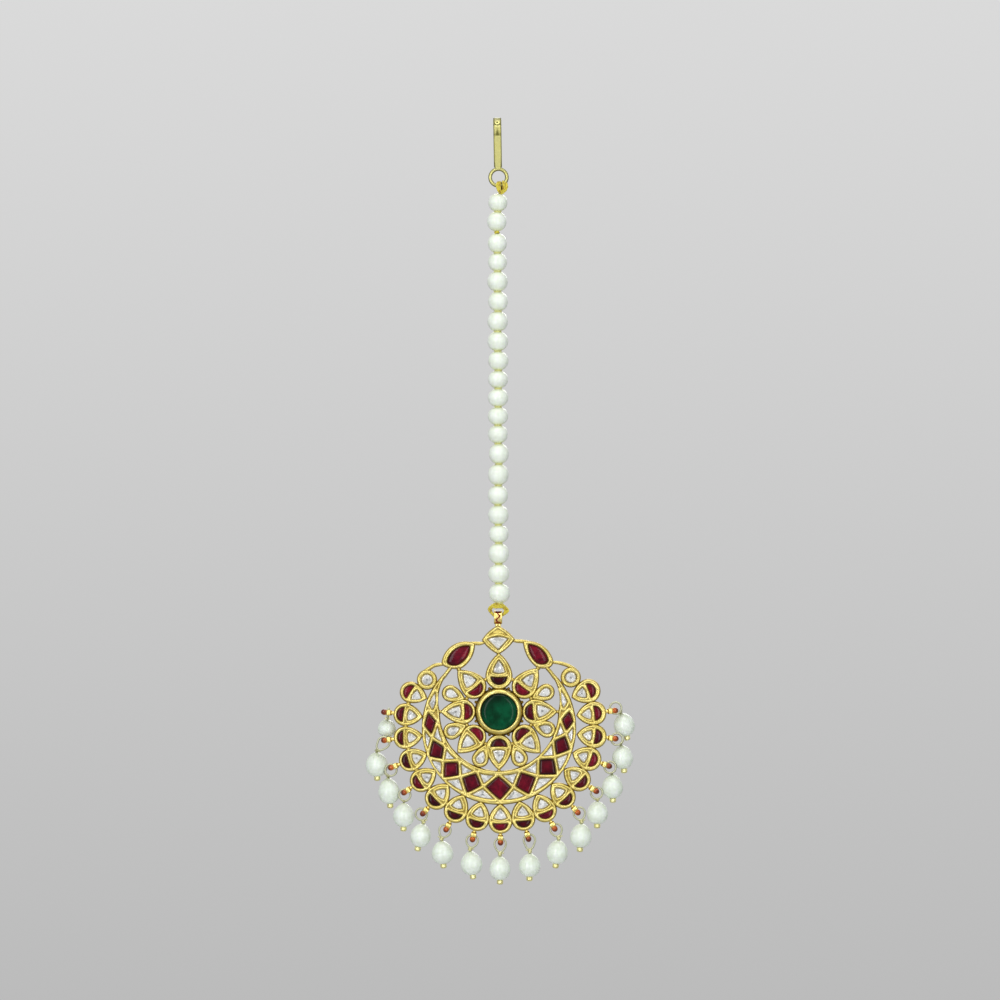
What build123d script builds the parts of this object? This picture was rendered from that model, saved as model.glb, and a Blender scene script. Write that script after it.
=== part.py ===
from build123d import *
import math
import os

# A maang tikka: a hair hook, a string of pearls and a gold openwork pendant set with
# stones and fringed with pearl drops. Sizes are in millimetres. +Z is up, the set face
# looks along -Y, and the origin is the inside top of the hook's bend.

# Hair hook: one flat strip bent over at the top, with a ring soldered to its front foot.
STRIP_WIDTH = 1.7
STRIP_THICKNESS = 0.7
BEND_RADIUS = 2.3
FRONT_FOOT_Z = -10.3
BACK_LEG_END_Z = -7.6
TIP_FLARE = 0.9
TIP_DROP = 2.0
RING_RADIUS = 1.74
RING_WIRE_RADIUS = 0.38
RING_Z = -11.9
HOOK_X = -0.2

# The string and the pendant hang in the plane of the hook's front leg.
HANG_Y = -(BEND_RADIUS + STRIP_THICKNESS / 2)

# Thread and string pearls.
THREAD_RADIUS = 0.28
PEARL_HOLE_RADIUS = 0.35
PEARL_GAP = 0.08
FIRST_PEARL_TOP_Z = -15.28
KNOT_RADIUS = 0.5
KNOT_SPREAD = 0.42
THREAD_LOOP_RADIUS = 1.0
THREAD_LOOP_REACH = 0.6

# Pendant plate, measured from its mid-plane towards the front.
PENDANT_Z = -123.2
PLATE_BACK = -1.1
PLATE_FRONT = 1.1
BEZEL_FRONT = 1.75
POCKET_DEPTH = 1.0
SEAT_GAP = 0.05
STONE_TOP = 0.95
STONE_BEVEL = 0.22

# Rosette: the emerald in its bezel, eight petals with their tips outwards, six fillers.
EMERALD_RADIUS = 3.85
EMERALD_BEVEL = 0.45
EMERALD_DOME = 0.5
BEZEL_RADIUS = 4.8
BEZEL_BASE_RADIUS = 5.15
BEZEL_BASE_FRONT = 0.2
PETAL_CENTRE_RADIUS = 7.45
PETAL_WIDTH_RADIUS = 2.5
PETAL_REACH = 4.75
PETAL_LEAN = 12
SOLDER_RADIUS = 0.55
FILLER_CENTRE_RADIUS = 10.65
FILLER_WIDTH_RADIUS = 1.7
FILLER_REACH = 3.3

# Crescent: outer and inner circles, each with its centre height.
CRESCENT_OUTER = 16.0
CRESCENT_OUTER_Z = -3.3
CRESCENT_INNER = 12.4
HORN_TIP_X = 10.7
HORN_TIP_Z = 8.6
HORN_TIP_WIDTH = 0.55
LATTICE_WALL = 0.36

# Border of seventeen petals with their tips inwards, on a ring about BORDER_CENTRE.
BORDER_CENTRE = (0.15, -3.0)
BORDER_RADIUS = 19.9
BORDER_PITCH = 13.9
BORDER_START = 270.4
BORDER_WIDTH_RADIUS = 2.44
BORDER_REACH = 3.75
BORDER_LEAN = 8

# Shoulder cells, wires and the lugs that carry the drops.
ROUND_CELL_RADIUS = 2.05
ROUND_STONE_RADIUS = 1.2
WIRE_WIDTH = 0.6
WIRE_HALF_DEPTH = 0.35
LUG_RADIUS_FROM_CENTRE = 23.45
LUG_OUTER_RADIUS = 0.95
LUG_WAIST_RADIUS = 0.5
LUG_MOUTH_RADIUS = 0.88
LUG_LENGTH = 1.2
LUG_STEM_WIDTH = 1.0
LUG_STEM_HALF_DEPTH = 0.45
LUG_STEM_FROM = 21.7
LUG_STEM_TO = 22.75

# Bail: a short barrel across the top of the crown, and the post behind it.
BAIL_X = -0.2
BAIL_Z = 19.65
BAIL_OUTER_RADIUS = 1.45
BAIL_EYE_RADIUS = 0.85
BAIL_LENGTH = 1.7
BAIL_POST_WIDTH = 1.2
BAIL_POST_TOP = 18.6
BAIL_POST_FOOT = 16.8
BAIL_CLEARANCE = 0.1

# Drops: a wire ring through the lug, a wrapped neck, a pin and a small end bead.
DROP_RING_RADIUS = 1.2
DROP_RING_SEAT = 0.28
DROP_WIRE_RADIUS = 0.17
DROP_NECK_RADIUS = 0.3
DROP_PIN_RADIUS = 0.15
DROP_HOLE_RADIUS = 0.22
DROP_LOWER_SHARE = 0.44
DROP_NECK_RISE = 0.28
END_BEAD_RADIUS = 0.6
END_BEAD_LENGTH = 1.0
END_BEAD_GAP = 0.06

# width, height and the extra length of thread left under each pearl, from the top down
STRING_PEARLS = [
    (4.02, 3.70, 0.0),
    (4.06, 4.02, 0.42),
    (4.00, 4.00, 0.0),
    (3.98, 3.76, 0.0),
    (4.34, 4.12, 0.0),
    (4.16, 4.04, 0.0),
    (4.36, 4.12, 0.0),
    (4.34, 4.02, 0.0),
    (4.30, 3.94, 0.0),
    (4.20, 3.68, 0.0),
    (4.26, 3.76, 0.0),
    (4.22, 3.74, 0.0),
    (4.20, 3.72, 0.0),
    (4.20, 4.20, 0.0),
    (4.36, 4.36, 0.0),
    (4.26, 4.02, 0.0),
    (4.36, 4.04, 0.0),
    (4.18, 3.74, 0.0),
    (4.34, 4.26, 0.0),
    (4.40, 3.96, 0.0),
    (4.46, 4.06, 0.0),
]

# direction of each rosette petal, the extra turn of its tip and the turn of its two stones,
# in degrees
ROSETTE_PETALS = [
    (0, 0, 7),
    (45, 8, 8),
    (90, 0, 0),
    (135, 0, -6),
    (180, 0, 0),
    (225, 0, -3),
    (270, 0, 0),
    (315, 0, -3),
]

# direction of each filler teardrop, in degrees
FILLER_DIRECTIONS = [22.5, 158.5, 202.5, 248.5, 293.5, 340.0]

# turn of the two stones in each border petal, in degrees, from the left end to the right
BORDER_TURNS = [-11, -1, -5, -3, -2, -4, 9, -1, 0, -9, -7, 1, -11, 0, -3, -1, -2]

# crescent lattice: for each ruby its inner corner and its outer corner (x, z)
RUBY_CORNERS = [
    ((-12.75, -1.9), (-15.85, -2.9)),
    ((-11.15, -7.2), (-14.95, -9.5)),
    ((-8.25, -10.15), (-11.8, -14.1)),
    ((-4.6, -12.4), (-6.85, -17.4)),
    ((-0.1, -12.95), (0.2, -18.9)),
    ((4.4, -12.25), (6.4, -17.7)),
    ((8.2, -9.6), (12.35, -13.4)),
    ((11.25, -5.9), (15.15, -8.1)),
    ((12.75, -1.6), (15.85, -2.1)),
]

# crescent lattice: the ten points (x, z) where neighbouring rubies meet
RUBY_JOINTS = [
    (-14.9, 0.5),
    (-13.95, -5.4),
    (-11.65, -10.25),
    (-8.05, -13.55),
    (-3.3, -15.6),
    (3.05, -15.7),
    (8.1, -13.45),
    (11.65, -9.45),
    (13.95, -4.6),
    (14.75, 0.75),
]

# horn stones: corners (x, z) and the bow of the side that follows, anticlockwise
LEFT_HORN_STONE = [(-13.3, 4.0, 0.1), (-14.55, 1.7, 0.1), (-13.8, 0.4, 0.05), (-13.15, 2.2, 0.05)]
RIGHT_HORN_STONE = [(12.85, 4.5, 0.0), (12.9, 2.2, 0.05), (13.45, 0.8, 0.1), (14.2, 2.1, 0.1)]

# almond cells beside the crown: cell and ruby corners (x, z, bow), anticlockwise
RIGHT_ALMOND = [(5.05, 14.6, 0.6), (7.6, 9.5, 0.3), (10.4, 9.2, 0.2), (11.3, 10.4, 1.5)]
RIGHT_ALMOND_RUBY = [(6.05, 14.1, 0.5), (7.9, 10.15, 0.2), (9.7, 9.95, 0.1), (10.3, 10.7, 0.95)]
LEFT_ALMOND = [(-5.05, 14.2, 1.9), (-11.9, 10.3, 0.2), (-10.9, 9.3, 0.3), (-7.7, 9.2, 0.75)]
LEFT_ALMOND_RUBY = [(-6.0, 13.75, 1.15), (-10.85, 10.5, 0.15), (-10.1, 9.7, 0.25), (-8.0, 10.05, 0.55)]

# crown cell and its stone: corners (x, z, bow), anticlockwise
CROWN = [(-0.25, 17.9, 0.15), (-3.5, 14.95, 0.1), (-0.1, 12.0, 0.1), (3.25, 15.1, 0.12)]
CROWN_STONE = [(-2.15, 15.15, 0.05), (-0.2, 12.95, 0.05), (1.85, 15.2, 0.62)]

ROUND_CELLS = [(-15.0, 6.65), (14.95, 7.15)]

# thin wires of the shoulders: start (x, z), end (x, z) and the bow between them
SHOULDER_WIRES = [
    ((-3.0, 14.45), (-5.6, 14.35), 0.05),
    ((5.6, 14.75), (2.7, 14.85), 0.05),
    ((-11.4, 10.0), (-15.9, 8.3), -0.4),
    ((16.2, 8.6), (11.0, 10.2), -0.45),
]

# drops from the left end to the right: direction from lug to ring (degrees) and its lean to
# the back, pearl centre (x, z), width, height, tilt (degrees, foot towards +X) and shift back
DROPS = [
    (270, 70, -23.4, -3.55, 3.80, 3.70, 0, 2.0),
    (213, 0, -25.5, -11.1, 4.70, 5.10, 2, 1.5),
    (226, 0, -22.95, -16.6, 4.50, 5.50, 5, 1.25),
    (241, 0, -19.85, -21.5, 4.50, 5.15, -1, 0.0),
    (220, 0, -16.3, -25.8, 4.35, 5.00, -13, 0.0),
    (236, 0, -11.8, -29.35, 4.55, 4.90, 5, 0.0),
    (256, 0, -5.75, -31.55, 4.60, 5.05, 7, 0.0),
    (267, 0, 0.2, -32.6, 4.40, 5.10, 0, 0.0),
    (291, 0, 6.4, -31.95, 4.50, 5.00, -1, 0.0),
    (307, 0, 12.15, -29.25, 4.50, 5.10, -7, 0.0),
    (321, 0, 17.05, -25.85, 4.50, 5.05, -4, 0.0),
    (313, 0, 20.5, -21.05, 4.50, 4.80, -1, 0.0),
    (332, 0, 23.65, -15.6, 4.45, 5.15, 2, 0.9),
    (350, 0, 25.8, -9.55, 4.40, 5.00, 12, 1.3),
    (34, 0, 26.1, -2.8, 4.45, 4.95, 13, 1.4),
]

FACE = Plane(origin=(0, HANG_Y, PENDANT_Z), x_dir=(1, 0, 0), z_dir=(0, -1, 0))
FRONT = (0, -1, 0)


def place(x, z, turn=0.0):
    """Where a shape drawn about the origin sits in the pendant's face."""
    return Location((x, z, 0), (0, 0, turn))


def on_ring(centre, radius, degrees):
    """Point (x, z) on a circle in the pendant's face."""
    angle = math.radians(degrees)
    return centre[0] + radius * math.cos(angle), centre[1] + radius * math.sin(angle)


def cell(corners):
    """Face with straight or bowed sides from (x, z, bow) corners, anticlockwise."""
    sides = []
    for (x0, z0, bow), (x1, z1, _) in zip(corners, corners[1:] + corners[:1]):
        length = math.hypot(x1 - x0, z1 - z0)
        middle_x = (x0 + x1) / 2 + bow * (z1 - z0) / length
        middle_z = (z0 + z1) / 2 - bow * (x1 - x0) / length
        if bow:
            sides.append(ThreePointArc((x0, z0), (middle_x, middle_z), (x1, z1)))
        else:
            sides.append(Line((x0, z0), (x1, z1)))
    return Face(Wire(sides))


def teardrop(radius, reach, lean):
    """Round end about the origin; two bowed sides leave it 'lean' degrees up and meet
    in a tip 'reach' along +Z."""
    lift = math.radians(lean)
    extra = (reach**2 - radius**2) / (2 * (radius - reach * math.sin(lift)))
    centre_x = -extra * math.cos(lift)
    centre_z = -extra * math.sin(lift)
    side_radius = radius + extra
    middle_angle = (lift + math.atan2(reach - centre_z, -centre_x)) / 2
    middle_x = centre_x + side_radius * math.cos(middle_angle)
    middle_z = centre_z + side_radius * math.sin(middle_angle)
    shoulder_x = radius * math.cos(lift)
    shoulder_z = radius * math.sin(lift)
    return Face(
        Wire(
            [
                ThreePointArc((shoulder_x, shoulder_z), (middle_x, middle_z), (0, reach)),
                ThreePointArc((0, reach), (-middle_x, middle_z), (-shoulder_x, shoulder_z)),
                ThreePointArc((-shoulder_x, shoulder_z), (0, -radius), (shoulder_x, shoulder_z)),
            ]
        )
    )


def half_moon(half_width, depth, dip, chord_z):
    """Half-moon with its round side down: the chord at chord_z sags by 'dip'."""
    return cell([(-half_width, chord_z, depth), (half_width, chord_z, -dip)])


def triangle(half_width, foot_z, tip_z, foot_bow, side_bow):
    """Three-cornered stone with its foot down and its tip up."""
    return cell([(-half_width, foot_z, foot_bow), (half_width, foot_z, side_bow), (0, tip_z, side_bow)])


def strip(start, end, bow, width):
    """Band of constant width along a bowed line."""
    length = math.dist(start, end)
    across_x = (end[1] - start[1]) / length * width / 2
    across_z = -(end[0] - start[0]) / length * width / 2
    return cell(
        [
            (start[0] + across_x, start[1] + across_z, bow),
            (end[0] + across_x, end[1] + across_z, 0),
            (end[0] - across_x, end[1] - across_z, -bow),
            (start[0] - across_x, start[1] - across_z, 0),
        ]
    )


def inset(corners, amount):
    """Corners (x, z) of a convex polygon whose sides are all moved inwards, anticlockwise."""
    lines = []
    for (x0, z0), (x1, z1) in zip(corners, corners[1:] + corners[:1]):
        length = math.hypot(x1 - x0, z1 - z0)
        normal_x = -(z1 - z0) / length
        normal_z = (x1 - x0) / length
        lines.append((normal_x, normal_z, normal_x * x0 + normal_z * z0 + amount))
    moved = []
    for (a0, b0, c0), (a1, b1, c1) in zip(lines[-1:] + lines[:-1], lines):
        area = a0 * b1 - a1 * b0
        moved.append(((c0 * b1 - c1 * b0) / area, (a0 * c1 - a1 * c0) / area))
    return moved


def bowed(corners, bows):
    """Face from (x, z) corners and a list of side bows."""
    return cell([(x, z, bow) for (x, z), bow in zip(corners, bows)])


def raise_face(faces, low, high):
    """Prisms between two heights above the pendant's mid-plane."""
    return [extrude(FACE.offset(low) * face, amount=high - low, dir=FRONT) for face in faces]


def fused(shapes):
    """One shape from overlapping ones."""
    return shapes[0].fuse(*shapes[1:])


def stones(faces):
    """One bevelled stone in each pocket, a seat gap smaller all round."""
    floor = PLATE_FRONT - POCKET_DEPTH + SEAT_GAP
    made = []
    for face in faces:
        smaller = offset(face, amount=-SEAT_GAP)
        girdle = STONE_TOP - STONE_BEVEL
        block = extrude(FACE.offset(floor) * smaller, amount=girdle - floor, dir=FRONT)
        top = block.faces().sort_by(Axis.Y)[0]
        made.append(block.fuse(extrude(top, amount=STONE_BEVEL, taper=45)))
    return made


def rosette_petals():
    """Cells, rubies and polkis of the eight petals, with their tips outwards."""
    cells, rubies, polkis = [], [], []
    for direction, tip_turn, turn in ROSETTE_PETALS:
        x, z = on_ring((0, 0), PETAL_CENTRE_RADIUS, direction)
        seat = place(x, z, direction - 90 + tip_turn)
        stone_seat = place(x, z, direction - 90 + turn)
        cells.append(seat * teardrop(PETAL_WIDTH_RADIUS, PETAL_REACH, PETAL_LEAN))
        rubies.append(stone_seat * half_moon(1.68, 1.82, 0.12, -0.1))
        polkis.append(stone_seat * triangle(1.2, 0.78, 3.25, 0.25, 0.2))
    return cells, rubies, polkis


def fillers():
    """Cells and polkis of the teardrops between the petals, with their tips inwards."""
    cells, polkis = [], []
    for direction in FILLER_DIRECTIONS:
        x, z = on_ring((0, 0), FILLER_CENTRE_RADIUS, direction)
        seat = place(x, z, direction + 90)
        cells.append(seat * teardrop(FILLER_WIDTH_RADIUS, FILLER_REACH, 10))
        polkis.append(seat * teardrop(0.92, 1.75, 10))
    return cells, polkis


def border_petals():
    """Cells, rubies and polkis of the border, with their tips on the crescent."""
    cells, rubies, polkis = [], [], []
    for number, turn in enumerate(BORDER_TURNS):
        direction = BORDER_START + BORDER_PITCH * (number - len(BORDER_TURNS) // 2)
        x, z = on_ring(BORDER_CENTRE, BORDER_RADIUS, direction)
        seat = place(x, z, direction + 90)
        stone_seat = place(x, z, direction + 90 + turn)
        cells.append(seat * teardrop(BORDER_WIDTH_RADIUS, BORDER_REACH, BORDER_LEAN))
        rubies.append(stone_seat * half_moon(1.55, 1.42, 0.1, -0.32))
        polkis.append(stone_seat * triangle(1.12, 0.85, 2.5, 0.3, 0.12))
    return cells, rubies, polkis


def crescent():
    """The crescent's plate and its lattice of nine rubies and eighteen polkis."""
    low = CRESCENT_OUTER_Z - CRESCENT_OUTER
    plate = cell(
        [
            (-HORN_TIP_X, HORN_TIP_Z, HORN_TIP_Z - low),
            (HORN_TIP_X, HORN_TIP_Z, 0),
            (HORN_TIP_X - HORN_TIP_WIDTH, HORN_TIP_Z, -1.2),
            (CRESCENT_INNER, 0, -CRESCENT_INNER),
            (-CRESCENT_INNER, 0, -1.2),
            (HORN_TIP_WIDTH - HORN_TIP_X, HORN_TIP_Z, 0),
        ]
    )
    rubies, polkis = [], []
    for number, (inner, outer) in enumerate(RUBY_CORNERS):
        before, after = RUBY_JOINTS[number], RUBY_JOINTS[number + 1]
        rubies.append(bowed(inset([before, outer, after, inner], LATTICE_WALL), [0.08] * 4))
        if number:
            last_inner, last_outer = RUBY_CORNERS[number - 1]
            polkis.append(bowed(inset([last_inner, before, inner], LATTICE_WALL), [0.05, 0.05, -0.1]))
            polkis.append(bowed(inset([before, last_outer, outer], LATTICE_WALL), [0.05, 0.2, 0.05]))
    polkis.append(cell(LEFT_HORN_STONE))
    polkis.append(cell(RIGHT_HORN_STONE))
    return plate, rubies, polkis


def lug(direction):
    """Short tube across the radius, with its stem into the border petal."""
    x, z = on_ring(BORDER_CENTRE, LUG_RADIUS_FROM_CENTRE, direction)
    angle = math.radians(direction)
    along = Plane(origin=(x, HANG_Y, PENDANT_Z + z), z_dir=(-math.sin(angle), 0, math.cos(angle)))
    half = LUG_LENGTH / 2
    tube = along * Cylinder(LUG_OUTER_RADIUS, LUG_LENGTH)
    funnel = Polyline(
        (0, -half - 0.01),
        (LUG_MOUTH_RADIUS, -half - 0.01),
        (LUG_WAIST_RADIUS, 0),
        (LUG_MOUTH_RADIUS, half + 0.01),
        (0, half + 0.01),
        close=True,
    )
    hole = along * revolve(Plane.XZ * make_face(funnel), Axis.Z)
    start = on_ring(BORDER_CENTRE, LUG_STEM_FROM, direction)
    end = on_ring(BORDER_CENTRE, LUG_STEM_TO, direction)
    stem_face = strip(start, end, 0, LUG_STEM_WIDTH)
    stem = raise_face([stem_face], -LUG_STEM_HALF_DEPTH, LUG_STEM_HALF_DEPTH)[0]
    return tube.fuse(stem) - hole


def bail():
    """Barrel across the top of the crown with an open eye, on a post behind the crown."""
    across = Plane(origin=(BAIL_X, HANG_Y, PENDANT_Z + BAIL_Z), z_dir=(1, 0, 0))
    half = BAIL_POST_WIDTH / 2
    post_face = cell(
        [
            (BAIL_X - half, BAIL_POST_FOOT, 0),
            (BAIL_X + half, BAIL_POST_FOOT, 0),
            (BAIL_X + half, BAIL_POST_TOP, 0),
            (BAIL_X - half, BAIL_POST_TOP, 0),
        ]
    )
    post = raise_face([post_face], -0.9, 0.1)[0]
    barrel = across * Cylinder(BAIL_OUTER_RADIUS, BAIL_LENGTH)
    return barrel.fuse(post) - across * Cylinder(BAIL_EYE_RADIUS, BAIL_LENGTH * 2)


def hook():
    """Flat strip from the ring, over the bend and down the back, with a flared tip."""
    inner = BEND_RADIUS
    outer = BEND_RADIUS + STRIP_THICKNESS
    flare_z = BACK_LEG_END_Z - TIP_DROP
    outline = [
        Line((-outer, FRONT_FOOT_Z), (-outer, -inner)),
        ThreePointArc((-outer, -inner), (0, STRIP_THICKNESS), (outer, -inner)),
        Line((outer, -inner), (outer, BACK_LEG_END_Z)),
        TangentArc((outer, BACK_LEG_END_Z), (outer + TIP_FLARE, flare_z), tangent=(0, -1)),
        Line((outer + TIP_FLARE, flare_z), (inner + TIP_FLARE, flare_z - STRIP_THICKNESS / 2)),
        TangentArc(
            (inner, BACK_LEG_END_Z),
            (inner + TIP_FLARE, flare_z - STRIP_THICKNESS / 2),
            tangent=(0, -1),
        ),
        Line((inner, BACK_LEG_END_Z), (inner, -inner)),
        ThreePointArc((inner, -inner), (0, 0), (-inner, -inner)),
        Line((-inner, -inner), (-inner, FRONT_FOOT_Z)),
        Line((-inner, FRONT_FOOT_Z), (-outer, FRONT_FOOT_Z)),
    ]
    side = Plane(origin=(HOOK_X - STRIP_WIDTH / 2, 0, 0), x_dir=(0, 1, 0), z_dir=(1, 0, 0))
    leg = extrude(side * Face(Wire(outline)), amount=STRIP_WIDTH, dir=(1, 0, 0))
    ring_seat = Plane(origin=(HOOK_X + 0.1, HANG_Y, RING_Z), z_dir=(0, 1, 0))
    return leg.fuse(ring_seat * Torus(RING_RADIUS, RING_WIRE_RADIUS))


def string_pearl_centres():
    """Centre height, width and height of each pearl, stacked down from the first."""
    rows = []
    top = FIRST_PEARL_TOP_Z
    for width, height, extra in STRING_PEARLS:
        rows.append((top - height / 2, width, height))
        top -= height + PEARL_GAP + extra
    return rows


def pearl(width, height, lower_share, hole_radius):
    """Pearl turned about Z with its widest girth at the origin and a drill hole."""
    low = -height * lower_share
    high = height + low
    girth = (width / 2, 0, 0)
    profile = Face(
        Wire(
            [
                TangentArc(girth, (hole_radius, 0, high), tangent=(0, 0, 1)),
                Line((hole_radius, 0, high), (hole_radius, 0, low)),
                TangentArc(girth, (hole_radius, 0, low), tangent=(0, 0, -1)),
            ]
        )
    )
    return revolve(profile, Axis.Z)


def thread():
    """Thread through every pearl, looped round the hook's ring and through the bail."""
    pearls = string_pearl_centres()
    loop_centre_z = PENDANT_Z + BAIL_Z + BAIL_EYE_RADIUS - THREAD_RADIUS - BAIL_CLEARANCE + THREAD_LOOP_RADIUS
    loop_top = loop_centre_z + THREAD_LOOP_RADIUS
    upper = (HOOK_X, HANG_Y, FIRST_PEARL_TOP_Z + KNOT_RADIUS)
    lower = (BAIL_X, HANG_Y, loop_top)
    run = Solid.make_cylinder(THREAD_RADIUS, upper[2] - lower[2], Plane(origin=lower, z_dir=(0, 0, 1)))
    left = BAIL_X - THREAD_LOOP_REACH
    right = BAIL_X + THREAD_LOOP_REACH
    low = loop_centre_z - THREAD_LOOP_RADIUS
    front_plane = Plane(origin=(0, HANG_Y, 0), x_dir=(1, 0, 0), z_dir=(0, -1, 0))
    route = front_plane * Wire(
        [
            Line((left, low), (right, low)),
            ThreePointArc((right, low), (right + THREAD_LOOP_RADIUS, loop_centre_z), (right, loop_top)),
            Line((right, loop_top), (left, loop_top)),
            ThreePointArc((left, loop_top), (left - THREAD_LOOP_RADIUS, loop_centre_z), (left, low)),
        ]
    )
    section = Plane(origin=(left, HANG_Y, low), z_dir=(1, 0, 0)) * Circle(THREAD_RADIUS)
    bail_loop = sweep(section, path=route)
    ring_foot_z = RING_Z - RING_RADIUS
    wrap_radius = RING_WIRE_RADIUS + THREAD_RADIUS + 0.06
    knot_z = FIRST_PEARL_TOP_Z + KNOT_RADIUS + 0.05
    pieces = [run, bail_loop]
    for side in (-1, 1):
        lobe_x = HOOK_X + 0.1 + side * KNOT_SPREAD
        wrap = Plane(origin=(lobe_x, HANG_Y, ring_foot_z), z_dir=(1, 0, 0))
        pieces.append(wrap * Torus(wrap_radius, THREAD_RADIUS))
    pieces.append(Pos(HOOK_X + 0.1, HANG_Y, knot_z) * Sphere(KNOT_RADIUS))
    return fused(pieces), pearls


def drop(row, direction):
    """Drop pearl and its wire: ring through the lug, neck, pin and end bead."""
    hang, lean, pearl_x, pearl_z, width, height, tilt, back = row
    low = height * DROP_LOWER_SHARE
    upward = Vector(-math.sin(math.radians(tilt)), 0, math.cos(math.radians(tilt)))
    middle = Vector(pearl_x, HANG_Y + back, PENDANT_Z + pearl_z)
    girth = middle - upward * (height / 2 - low)
    body = Location(tuple(girth), (0, -tilt, 0)) * pearl(width, height, DROP_LOWER_SHARE, DROP_HOLE_RADIUS)

    lug_x, lug_z = on_ring(BORDER_CENTRE, LUG_RADIUS_FROM_CENTRE, direction)
    across = math.cos(math.radians(lean))
    away = Vector(
        across * math.cos(math.radians(hang)),
        math.sin(math.radians(lean)),
        across * math.sin(math.radians(hang)),
    )
    ring_centre = Vector(lug_x, HANG_Y, PENDANT_Z + lug_z) + away * (DROP_RING_RADIUS - DROP_RING_SEAT)
    lug_axis = Vector(-math.sin(math.radians(direction)), 0, math.cos(math.radians(direction)))
    ring_normal = away.cross(lug_axis).normalized()
    ring = Plane(origin=ring_centre, z_dir=ring_normal) * Torus(DROP_RING_RADIUS, DROP_WIRE_RADIUS)
    neck_foot = girth + upward * (height - low + DROP_NECK_RISE)
    to_neck = neck_foot - ring_centre
    to_neck = to_neck - ring_normal * to_neck.dot(ring_normal)
    ring_foot = ring_centre + to_neck.normalized() * DROP_RING_RADIUS
    span = ring_foot - neck_foot
    neck = Solid.make_cylinder(DROP_NECK_RADIUS, span.length, Plane(origin=neck_foot, z_dir=span))
    joint = Pos(*neck_foot) * Sphere(DROP_NECK_RADIUS * 1.1)

    bead_top = girth - upward * (low + END_BEAD_GAP)
    bead_foot = bead_top - upward * END_BEAD_LENGTH
    pin_start = bead_foot + upward * END_BEAD_LENGTH / 2
    pin_length = (neck_foot - pin_start).length
    pin = Solid.make_cylinder(DROP_PIN_RADIUS, pin_length, Plane(origin=pin_start, z_dir=upward))
    bead = Solid.make_cylinder(END_BEAD_RADIUS, END_BEAD_LENGTH, Plane(origin=bead_foot, z_dir=upward))
    bead = fillet(bead.edges().filter_by(GeomType.CIRCLE), END_BEAD_RADIUS * 0.45)
    return body, ring.fuse(neck, joint, pin, bead)


def emerald():
    """Round stone with a bevelled edge and a low dome, seated in the bezel."""
    floor = PLATE_FRONT - POCKET_DEPTH + SEAT_GAP
    girdle = BEZEL_FRONT - 0.25
    shoulder = girdle + EMERALD_BEVEL * 0.7
    radius = EMERALD_RADIUS - SEAT_GAP
    table = radius - EMERALD_BEVEL
    profile = Face(
        Wire(
            [
                Line((0, 0, floor), (radius, 0, floor)),
                Line((radius, 0, floor), (radius, 0, girdle)),
                Line((radius, 0, girdle), (table, 0, shoulder)),
                TangentArc((0, 0, shoulder + EMERALD_DOME), (table, 0, shoulder), tangent=(1, 0, 0)),
                Line((0, 0, shoulder + EMERALD_DOME), (0, 0, floor)),
            ]
        )
    )
    return FACE * revolve(profile, Axis.Z)


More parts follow.
